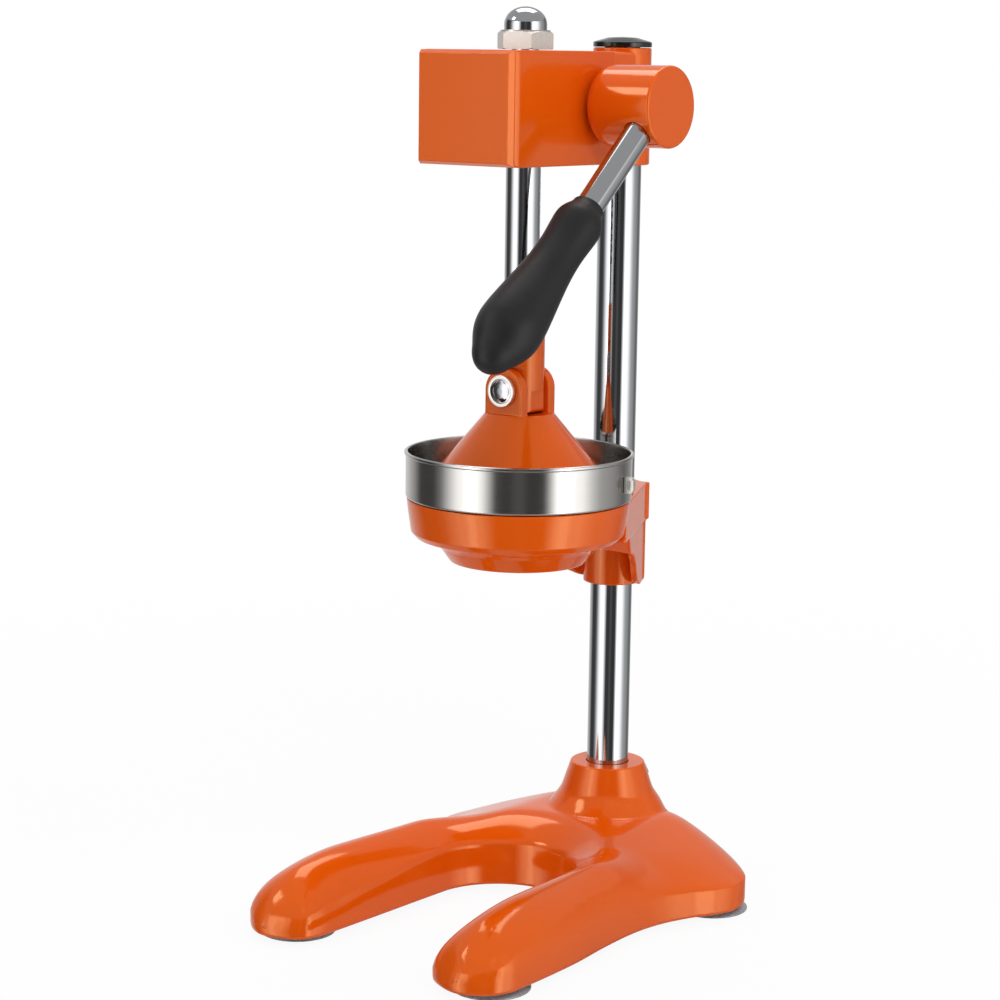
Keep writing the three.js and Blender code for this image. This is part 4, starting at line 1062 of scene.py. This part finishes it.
def reamer():
    """The ribbed cone that the fruit is pressed on, standing in the strainer."""
    foot = FUNNEL_RIM - 4.9
    height, ridge, groove, ribs = 37.5, 30.8, 2.6, 12
    rings, around = 30, ribs * 14
    verts, faces = [], []
    for i in range(rings + 1):
        out = float(np.interp(i / rings, *zip(*REAMER_SHARES)))
        for k in range(around):
            a = 2 * math.pi * k / around
            dip = 1 - abs(math.sin(ribs / 2 * a)) ** 0.8
            radius = max(out, 0.004) * (ridge - groove * dip)
            verts.append((radius * math.cos(a), radius * math.sin(a), foot + i / rings * height))
    for low in range(0, rings * around, around):
        high = low + around
        for k in range(around):
            n = (k + 1) % around
            faces.append([low + k, low + n, high + n, high + k])
    faces.append([rings * around + k for k in range(around)])
    faces.append(list(range(around))[::-1])
    rim = turned([(0, foot), (31.3, foot, 0.4), (31.3, foot + 2, 0.7), (0, foot + 2)], 120)
    spigot = turned([(0, foot - 5), (6, foot - 5, 0.8), (6, foot + 1), (0, foot + 1)], 40)
    finish_mesh(
        "reamer_ribbed_cone", *together((verts, faces), rim, spigot), ALLOY, "stand",
        ["reamer_cone"], "reamer_alloy", sharp=30,
    )


reamer()

# Head casting and cover

HEAD_HALF = 30.4
HEAD_WALL = 4.0
NECK_HALF = 15.6
PASSAGE_HALF = 11.5
AXLE = shift(0, PINION_Y, PINION_Z)


def drafted_box(name, rings, edge):
    """The head's box section along Y: each ring is a place on Y and how far it steps in."""
    verts = []
    for y, inset in rings:
        x, low, high = HEAD_HALF - inset, HEAD + inset, HEAD_TOP - inset
        verts += [(-x, y, low), (x, y, low), (x, y, high), (-x, y, high)]
    last = 4 * len(rings) - 4
    faces = [[0, 1, 2, 3], [last + 3, last + 2, last + 1, last]]
    for ring in range(0, last, 4):
        for k in range(4):
            n = (k + 1) % 4
            faces.append([ring + k, ring + n, ring + 4 + n, ring + 4 + k])
    return eased_edges(rough_object(name, (verts, faces)), edge, 4, 15)


SHAFT_BUSH = [
    (SHAFT_BORE, 11.5), (SHAFT_BUSH_RADIUS, 11.5, 0.3), (SHAFT_BUSH_RADIUS, 30.7),
    (13.5, 30.7, 0.2), (13.5, 32.0, 0.3), (SHAFT_BORE, 32.0, 0.3), (SHAFT_BORE, 11.51),
]


def ring_profile(inner, outer, low, high, soft_inner, soft_outer):
    """A plain sleeve's section, its rims rounded."""
    return [
        (inner, low, soft_inner), (outer, low, soft_outer), (outer, high, soft_outer),
        (inner, high, soft_inner), (inner, low + 0.01),
    ]


def head():
    """The gear case, its neck, the column's collar, the front cover and the bushes."""
    floor, ceiling = HEAD + HEAD_WALL, HEAD_TOP - HEAD_WALL
    below, beyond = HEAD - 9, HEAD + 70
    room_half = HEAD_HALF - HEAD_WALL
    shell = drafted_box("head_box", [(-45.4, 1.15), (-42.7, 0), (35.5, 0), (37.6, 1.6)], 0.75)
    room = block(-room_half, room_half, -60, 33.6, floor, ceiling)
    passage = block(-PASSAGE_HALF, PASSAGE_HALF, 20, 60, floor, ceiling)
    ram_hole = plug(RAM_BUSH_RADIUS + GAP, below, beyond)
    shaft_hole = moved(plug(SHAFT_BUSH_RADIUS + GAP, -50, 50), AXLE @ ALONG_X)
    carve(shell, [room, passage, ram_hole, shaft_hole])
    finish_carved(shell, ENAMEL, "stand", ["head_casting"])

    neck = block(-NECK_HALF, NECK_HALF, 34, 76, HEAD, HEAD_TOP, edge=2.4, steps=5)
    neck = rough_object("head_neck", neck)
    passage = block(-PASSAGE_HALF, PASSAGE_HALF, 20, 49, floor, ceiling)
    carve(neck, [passage, moved(plug(13, below, beyond), shift(0, THROAT))])
    finish_carved(neck, ENAMEL, "stand", [])

    low, high = HEAD - 2.2, HEAD + 59.6
    collar = turned(ring_profile(COLUMN_BORE, NECK_HALF, low, high, 0.4, 0.9), 120)
    collar = together(moved(collar, shift(0, THROAT)), bolt_pad(*HEAD_BOLT))
    weighted(
        finish_mesh("head_column_collar", *collar, ENAMEL, "stand", slot="orange_paint")
    )

    cover = drafted_box("head_cover_plate", [(-49.7, 1.9), (-46.3, 0.15), (-45.7, 0.35)], 0.4)
    half = room_half - GAP
    spigot = block(-half, half, -47, -42.7, floor + GAP, ceiling - GAP, edge=0.5, steps=2)
    carve(cover, [spigot], "UNION")
    finish_carved(cover, ENAMEL, "stand", ["head_front_cover"])

    bush_length = 10.0
    for node, low in (("ram_bush_lower", HEAD), ("ram_bush_upper", HEAD_TOP - bush_length)):
        sleeve = ring_profile(RAM_BORE, RAM_BUSH_RADIUS, low, low + bush_length, 0.3, 0.3)
        finish_mesh(node + "_sleeve", *turned(sleeve, 72), BRONZE, "stand", [node], "bronze")
    for node, way in (("shaft_bush_right", 1), ("shaft_bush_left", -1)):
        sleeve = moved(turned(SHAFT_BUSH, 80), AXLE @ turn(way * math.pi / 2, "Y"))
        finish_mesh(node + "_sleeve", *sleeve, BRONZE, "stand", [node], "bronze")


head()

# Lever

ROD = AXLE @ shift(63.15, 0, 0) @ turn(math.pi - LEVER_ANGLE, "X")
GRUB = AXLE @ shift(44.0, 0, 0) @ turn(-LEVER_ANGLE, "X")
HUB = [(0, 32.3), (20.7, 32.3, 7.0), (20.7, 73.3, 1.3), (0, 73.3)]
GRUB_SCREW = [(0, 8.3), (3, 8.3, 0.4), (3, 18.2, 0.4), (1.9, 18.2), (1.9, 15.2), (0, 15.2)]
GRIP = [
    (0.0, ROD_END + GAP), (ROD_BORE, ROD_END + GAP), (ROD_BORE, 73.6), (7.9, 72.9), (8.4, 73.2),
    (8.8, 75.2), (9.6, 77.2), (11.2, 80.2), (12.2, 83.2), (12.45, 86.5), (12.2, 91.5),
    (11.75, 98.5), (11.65, 104.5), (11.9, 111.5), (12.5, 118.5), (13.6, 127.5), (15.05, 138.0),
    (16.1, 146.5), (16.55, 152.5), (16.5, 156.5), (15.7, 161.3), (13.9, 166.2), (11.2, 171.5),
    (8.9, 176.2), (6.0, 179.6), (3.0, 181.1), (0.0, 181.4),
]
SHAFT = [
    (0, -37.4), (SHAFT_RADIUS, -37.4, 0.7), (SHAFT_RADIUS, -35.4), (7.1, -35.4), (7.1, -33.6),
    (SHAFT_RADIUS, -33.6), (SHAFT_RADIUS, SHAFT_END, 0.6), (0, SHAFT_END),
]
THRUST_WASHER = [
    (SHAFT_BORE, -33.6, 0.2), (12.5, -33.6, 0.3), (12.5, -32.3, 0.3), (SHAFT_BORE, -32.3, 0.2),
    (SHAFT_BORE, -33.59),
]


def lever_hub():
    """The hub on the pinion's shaft, bored for the rod, and the screw that holds it."""
    hub = rough_object("lever_hub_barrel", moved(turned(HUB, 180, 10), AXLE @ ALONG_X))
    shaft_hole = moved(plug(SHAFT_BORE, 10, SHAFT_END + GAP, 72), AXLE @ ALONG_X)
    rod_hole = moved(plug(ROD_BORE, ROD_START - GAP, 30), ROD)
    carve(hub, [shaft_hole, rod_hole, moved(plug(3.3, 0, 30, 48), GRUB)])
    finish_carved(hub, ENAMEL, "lever", ["lever_hub"])
    finish_mesh(
        "hub_set_screw", *moved(turned(GRUB_SCREW, 40), GRUB), STEEL, "lever",
        ["hub_grub_screw"], "steel",
    )


lever_hub()
rod = turned(
    [(0, ROD_START), (ROD_RADIUS, ROD_START, 0.8), (ROD_RADIUS, ROD_END, 0.8), (0, ROD_END)], 112,
)
weighted(
    finish_mesh(
        "lever_round_rod", *moved(rod, ROD), CHROME, "lever", ["lever_rod"], "column_chrome",
    )
)


def smooth_profile(points, steps, keep):
    """Extra points between the given ones on a smooth line, from point number keep on."""
    last = len(points) - 1
    out = [tuple(p) for p in points[:keep]]
    for i in range(keep, last):
        near = [Vector(points[min(max(j, keep), last)]) for j in range(i - 1, i + 3)]
        out += [tuple(smooth_point(*near, k / steps)) for k in range(steps)]
    out.append(tuple(points[-1]))
    return [(max(r, 0.0), z) for r, z in out]


finish_mesh(
    "lever_moulded_grip", *moved(spun(smooth_profile(GRIP, 4, 3), 112), ROD), GRIP_BLACK,
    "lever", ["lever_grip"], "grip_rubber", sharp=60,
)


def open_ring(inner, outer, low, high, slot):
    """A flat ring with a slot across it, as a snap ring has."""
    half, count = math.asin(slot / 2 / inner), 72
    section = [(inner, low), (outer, low, 0.2), (outer, high, 0.2), (inner, high), (inner, low)]
    profile = softened(section, 2)
    verts, faces = spun(profile, count, math.pi + half, 2 * math.pi - 2 * half)
    ends = [i * (count + 1) for i in range(len(profile) - 1)]
    return verts, [*faces, ends, [i + count for i in ends][::-1]]


def pinion_shaft():
    shaft = rough_object("pinion_turned_shaft", moved(turned(SHAFT), AXLE @ ALONG_X))
    key_seat = block(-8.3, 8.3, -2.8, 2.8, 5.2, 12)
    carve(shaft, [moved(key_seat, AXLE)])
    finish_carved(shaft, STEEL, "lever", ["pinion_shaft"])
    washer = moved(turned(THRUST_WASHER, 80), AXLE @ ALONG_X)
    finish_mesh("shaft_thrust_washer", *washer, STEEL, "lever", ["shaft_washer"], "steel")
    ring = moved(open_ring(7.4, 11, 33.9, 35.1, 4), AXLE @ turn(-math.pi / 2, "Y"))
    finish_mesh("shaft_snap_ring", *ring, STEEL, "lever", ["shaft_retaining_ring"], "steel")


pinion_shaft()

# Ram, nut, socket and pin

SOCKET_FLOOR = 13.5
RAM_LOW = PIN + SOCKET_FLOOR + GAP
RAM_STEP = HEAD_TOP + 0.1
RAM = [
    (0, RAM_LOW), (RAM_RADIUS, RAM_LOW, 0.6), (RAM_RADIUS, RAM_STEP, 0.5), (RAM_NECK, RAM_STEP),
    (RAM_NECK, RAM_TOP, 0.6), (0, RAM_TOP),
]


def ram_bar():
    """The round bar with rack gaps milled in its back."""
    bar = rough_object("ram_toothed_bar", turned(RAM, 112))
    module, pressure_angle = 2.0, math.radians(20)
    pitch = module * math.pi
    # The gap is half a pitch wide on the pitch line, and its flanks lean out from there.
    root, pitch_line, outside = 4.5, 7.0, 12.0
    inner = pitch / 4 - (pitch_line - root) * math.tan(pressure_angle)
    outer = pitch / 4 + (outside - pitch_line) * math.tan(pressure_angle)
    gaps = []
    for k in range(-14, 3):
        middle = PINION_Z + k * pitch
        outline = [
            (root, middle - inner), (outside, middle - outer), (outside, middle + outer),
            (root, middle + inner),
        ]
        gaps.append(moved(slab(outline, -12, 12), SIDE_VIEW))
    carve(bar, [together(*gaps)])
    finish_carved(bar, CHROME, "ram", ["ram_rack"])


ram_bar()


def acorn_nut():
    """A hexagon with worn-off corners, and the polished dome that closes it."""
    low, flats, height, bore = HEAD_TOP + 0.4, 26, 9.6, RAM_NECK + GAP
    hexagonal = moved(slab(hexagon(flats), low, low + height), turn(math.radians(20), "Z"))
    nut = rough_object("ram_acorn_nut_hex", hexagonal)
    corner = flats / 2 / math.cos(math.pi / 6)
    barrel = [
        (0, -1), (corner - 1.6, -1), (corner - 0.9, 0), (corner + 0.2, 0.7),
        (corner + 0.2, 7.6), (corner - 2.2, 9.0), (corner - 2.3, height), (0, height),
    ]
    carve(nut, [spun(raised(barrel, low), 96)], "INTERSECT")
    carve(nut, [plug(bore, low - 5, low + 14, 64)])
    eased_edges(nut, 0.35, 2, 28)
    finish_carved(nut, STEEL, "ram", ["ram_stop_nut"], 25)
    radius, shoulder, top = 11, 12.5, 21.5
    dome = [(bore, 8), (radius, 8.2), (radius, shoulder)]
    for k in range(1, 13):
        a = math.pi / 2 * k / 12
        dome.append((radius * math.cos(a), shoulder + (top - shoulder) * math.sin(a)))
    finish_mesh(
        "ram_acorn_nut_dome", *spun(raised(dome, low), 96), CHROME, "ram",
        slot="column_chrome", sharp=60,
    )


acorn_nut()

FRONTWARD = shift(0, 0, PIN) @ ALONG_FRONT


def ram_socket():
    """The painted end of the ram: a round post whose foot fits between the bell's ears."""
    z = PIN
    half_foot, neck = 8.45, 13.0
    post = turned([(0, z), (12.5, z), (12.5, z + 33.5, 1.2), (0, z + 33.5)], 96, 6)
    post = rough_object("ram_pivot_post", post)
    sole = [(-11.5, -11.5, 2.6), (11.5, -11.5, 2.6), (11.5, 14), (-11.5, 14)]
    sole = moved(slab(softened(sole, 8, True), -half_foot, half_foot), FRONTWARD)
    foot = rough_object("post_foot", sole)
    carve(foot, [plug(12.45, z - 20, z + 13.2)], "INTERSECT")
    cut_with(post, foot, "UNION")
    for front, rear in ((-30, -half_foot), (half_foot, 30)):
        carve(post, [block(-30, 30, front, rear, z - 30, z + neck)])
    pin_hole = moved(plug(PIN_HOLE, -20, 20, 72), FRONTWARD)
    carve(post, [pin_hole, plug(RAM_BORE, z + SOCKET_FLOOR, z + 50)])
    eased_edges(post, 0.7, 3, 40)
    finish_carved(post, ENAMEL, "ram", ["ram_socket"])


ram_socket()

PIN_SHAPE = [
    (0, -17.25), (PIN_RADIUS, -17.25, 0.6), (PIN_RADIUS, -16.05), (4.1, -16.05), (4.1, -14.25),
    (PIN_RADIUS, -14.25), (PIN_RADIUS, 15.65), (7.0, 15.65), (7.0, 16.15, 0.2), (6.2, 16.15),
    (6.2, 15.8), (5.9, 15.8), (4.9, 16.3, 1), (3.6, 16.72, 1.5), (1.9, 17.05, 2), (0, 17.15),
]
WASHER = [
    (PIN_HOLE, 14.55), (8.3, 14.55, 0.3), (8.3, 16.95, 0.4), (6.5, 16.95, 0.2), (6.5, 16.5),
    (7.3, 16.5), (7.3, 15.35), (PIN_HOLE, 15.35), (PIN_HOLE, 14.56),
]
finish_mesh(
    "pivot_domed_pin", *moved(turned(PIN_SHAPE, 96, 5), FRONTWARD), CHROME, "ram",
    ["pivot_pin"], "column_chrome",
)
finish_mesh(
    "pivot_cup_washer", *moved(turned(WASHER, 96, 5), FRONTWARD), BRIGHT_ZINC, "ram",
    ["pivot_pin_washer"], "column_chrome",
)
finish_mesh(
    "pivot_snap_ring", *moved(open_ring(4.4, 8, -15.75, -14.55, 4), FRONTWARD), STEEL, "ram",
    ["pivot_pin_ring"], "steel",
)

# Pusher bell

BELL = [
    (0, -16.5), (15.5, -16.5, 2), (40.0, -46.0, 2.0), (40.2, -50.5, 0.6), (43.5, -50.5, 0.6),
    (43.4, -43.2, 2.5), (18.6, -13.3, 1.0), (17.6, -12.3, 0.5), (0, -12.3),
]


def pusher_bell():
    """The hollow cone with an arched ear before and behind the ram's foot."""
    ear_half, ear_rise, ear_thick, slot = 12.0, 11.5, 5.5, 8.75
    skin = rough_object("bell_skin", spun(raised(softened(BELL, 5), PIN), 200))
    arch = [(-ear_half, -15.0), (ear_half, -15.0)]
    for k in range(33):
        a = math.pi * k / 32
        arch.append((ear_half * math.cos(a), ear_rise * math.sin(a)))
    for near in (slot, -slot - ear_thick):
        carve(skin, [moved(slab(arch, near, near + ear_thick), FRONTWARD)], "UNION")
    gap = slab([(-13.4, -12.5), (13.4, -12.5), (13.4, 14), (-13.4, 14)], -slot, slot)
    pin_hole = plug(PIN_HOLE, -30, 30, 72)
    carve(skin, [moved(gap, FRONTWARD), moved(pin_hole, FRONTWARD)])
    cast_skin(skin, 0.45, 2)
    skin.name = "pusher_bell_shell"
    dress(skin, ENAMEL, "bell", ["pusher_bell"])


pusher_bell()

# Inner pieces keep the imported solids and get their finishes

for node in ("pinion_gear", "pinion_key"):
    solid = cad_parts[node]
    solid.data.materials.clear()
    solid.data.materials.append(STEEL)

# Studio


def studio_surface(name, colour, shown):
    """A matt surface that glows to the camera, pure white well away from the press."""
    finish = Finish(name, Roughness=0.9, **{"Base Color": colour, "Specular IOR Level": 0.1})
    path = finish.node("ShaderNodeLightPath").outputs
    seen = Value(finish, path["Is Camera Ray"]) + Value(finish, path["Is Transmission Ray"])
    away = finish.node("ShaderNodeVectorMath", {"operation": "LENGTH"}, finish.place)
    share = finish.ramp(Value(finish, away.outputs["Value"]), 0.35, 1.1, shown, 1.0)
    white = finish.node("ShaderNodeEmission", {}, Color=(1, 1, 1, 1), Strength=1.0)
    mix = finish.node(
        "ShaderNodeMixShader", {}, seen.at_most(1.0) * share, finish.shader.outputs[0],
        white.outputs[0],
    )
    finish.feed(finish.out.inputs[0], mix.outputs[0])
    return finish.material


def stage_piece(name, shape, material):
    """Something round the press that isn't part of it, in metres."""
    verts, faces = shape
    mesh = bpy.data.meshes.new(name)
    mesh.from_pydata(verts, [], faces)
    mesh.materials.append(material)
    piece = bpy.data.objects.new(name, mesh)
    bpy.context.scene.collection.objects.link(piece)
    return piece


FAR = 30
FLOOR_CORNERS = [(-FAR, -FAR, 0), (FAR, -FAR, 0), (FAR, FAR, 0), (-FAR, FAR, 0)]
floor = stage_piece(
    "studio_floor", (FLOOR_CORNERS, [[0, 1, 2, 3]]),
    studio_surface("white floor", (0.86, 0.86, 0.86, 1), 0.93),
)
floor.visible_glossy = False

CAMERA_BEARING = -51.44
PANEL_RADIUS = 2.4
PANEL_GAIN = 1.6
# The brightness that a white stop of the panels' ramp stands for, above all of theirs.
WHITE_STOP = 2.6
# Panels round the press as polished metal sees them: degrees from the camera's side (positive
# to its right) and brightness.
PANELS = [
    (-180, 0.5), (-150, 0.5), (-132, 0.33), (-118, 0.05), (-95, 0.05), (-84, 0.2), (-72, 0.8),
    (-64, 1.25), (-56, 1.35), (-53, 2.1), (-47, 2.1), (-43, 1.35), (-38, 1.25), (-31, 0.6),
    (-24, 0.05), (-10, 0.04), (-3, 0.08), (3, 0.08), (10, 0.04), (26, 0.04), (32, 0.6), (37, 1.3),
    (45, 2.1), (52, 2.1), (57, 1.3), (66, 1.3), (78, 0.75), (90, 0.42), (110, 0.3), (130, 0.12),
    (150, 0.25), (180, 0.5),
]


def bearing_point(degrees, distance, z):
    """A place round the press, by its bearing from the camera's side."""
    a = math.radians(CAMERA_BEARING + degrees)
    return Vector((distance * math.cos(a), distance * math.sin(a), z))


def ring_of_panels():
    """Black, grey and white panels in a ring, seen only where a surface mirrors them."""
    finish = Finish(
        "studio panels", Roughness=1.0,
        **{
            "Base Color": (0, 0, 0, 1), "Specular IOR Level": 0.0,
            "Emission Strength": PANEL_GAIN * WHITE_STOP,
        },
    )
    parts = finish.node("ShaderNodeSeparateXYZ", {}, finish.place).outputs
    side = Value(finish, parts[1])
    angle = side.maths("ARCTAN2", side, parts[0])
    stops = []
    for degrees, level in PANELS:
        grey = level / WHITE_STOP
        stops.append(((degrees + 180) / 360, (grey, grey, grey, 1.0)))
    ramp = finish.node("ShaderNodeValToRGB", {"stops": stops}, angle / (2 * math.pi) + 0.5)
    finish.set("Emission Color", ramp.outputs[0])
    wall = spun([(PANEL_RADIUS, -1.9), (PANEL_RADIUS, 1.3)], 72)
    piece = stage_piece("studio_panels", wall, finish.material)
    piece.rotation_euler.z = math.radians(CAMERA_BEARING)
    piece.visible_camera = False
    piece.visible_shadow = False
    piece.visible_diffuse = False
    piece.visible_transmission = False


ring_of_panels()


PRESS_MIDDLE = Vector((0, 0, 0.24))


def soft_box(name, degrees, distance, height, width, tall, watts, mirrored=False):
    """An area lamp aimed at the middle of the press; gloss shows it only if it is mirrored."""
    lamp = bpy.data.lights.new(name, "AREA")
    lamp.shape = "RECTANGLE"
    lamp.size = width
    lamp.size_y = tall
    lamp.energy = watts
    holder = bpy.data.objects.new(name, lamp)
    bpy.context.scene.collection.objects.link(holder)
    holder.location = bearing_point(degrees, distance, height)
    way = PRESS_MIDDLE - holder.location
    holder.rotation_euler = way.to_track_quat("-Z", "Y").to_euler()
    holder.visible_glossy = mirrored


soft_box("soft_box_right", 58, 1.8, 1.6, 0.8, 0.8, 7)
soft_box("soft_box_front", 14, 1.5, 1.7, 0.9, 0.6, 15)
soft_box("soft_box_left", -80, 1.3, 1.35, 0.45, 0.45, 3, True)
soft_box("soft_box_top", 175, 0.7, 1.8, 1.3, 0.9, 11, True)


def white_room():
    """A plain white world, dimmer as a light and in reflections than to the camera."""
    world = bpy.data.worlds.new("studio")
    bpy.context.scene.world = world
    world.use_nodes = True
    room = Nodes(world.node_tree)
    path = room.node("ShaderNodeLightPath").outputs
    as_light, in_gloss, to_camera = [
        room.node("ShaderNodeBackground", {}, Color=(1, 1, 1, 1), Strength=strength).outputs[0]
        for strength in (0.44, 0.55, 1.0)
    ]
    mixed = room.node("ShaderNodeMixShader", {}, path["Is Glossy Ray"], as_light, in_gloss)
    seen = room.node(
        "ShaderNodeMixShader", {}, path["Is Camera Ray"], mixed.outputs[0], to_camera,
    )
    room.node("ShaderNodeOutputWorld", {}, seen.outputs[0])


white_room()

CAMERA_PLACE = Vector((0.82678, -1.05011, 0.45330))
CAMERA_TURN, CAMERA_DOWN, CAMERA_ROLL = (math.radians(a) for a in (38.56, 9.74, 0.79))
LENS, SENSOR = 93.35, 36


def photo_camera():
    """The camera where the photograph was taken from, fitted to its edges and curves."""
    camera = bpy.data.objects.new("camera", bpy.data.cameras.new("camera"))
    bpy.context.scene.collection.objects.link(camera)
    camera.data.lens = LENS
    camera.data.sensor_width = SENSOR
    camera.data.clip_end = 50
    level = Vector((-math.sin(CAMERA_TURN), math.cos(CAMERA_TURN), 0)) * math.cos(CAMERA_DOWN)
    ahead = level - Vector((0, 0, math.sin(CAMERA_DOWN)))
    right = Vector((math.cos(CAMERA_TURN), math.sin(CAMERA_TURN), 0))
    up = right.cross(ahead)
    across = right * math.cos(CAMERA_ROLL) + up * math.sin(CAMERA_ROLL)
    upright = up * math.cos(CAMERA_ROLL) - right * math.sin(CAMERA_ROLL)
    axes = Matrix((across, upright, -ahead)).transposed()
    camera.matrix_world = Matrix.Translation(CAMERA_PLACE) @ axes.to_4x4()
    bpy.context.scene.camera = camera


photo_camera()
bpy.context.scene.view_settings.view_transform = "Standard"
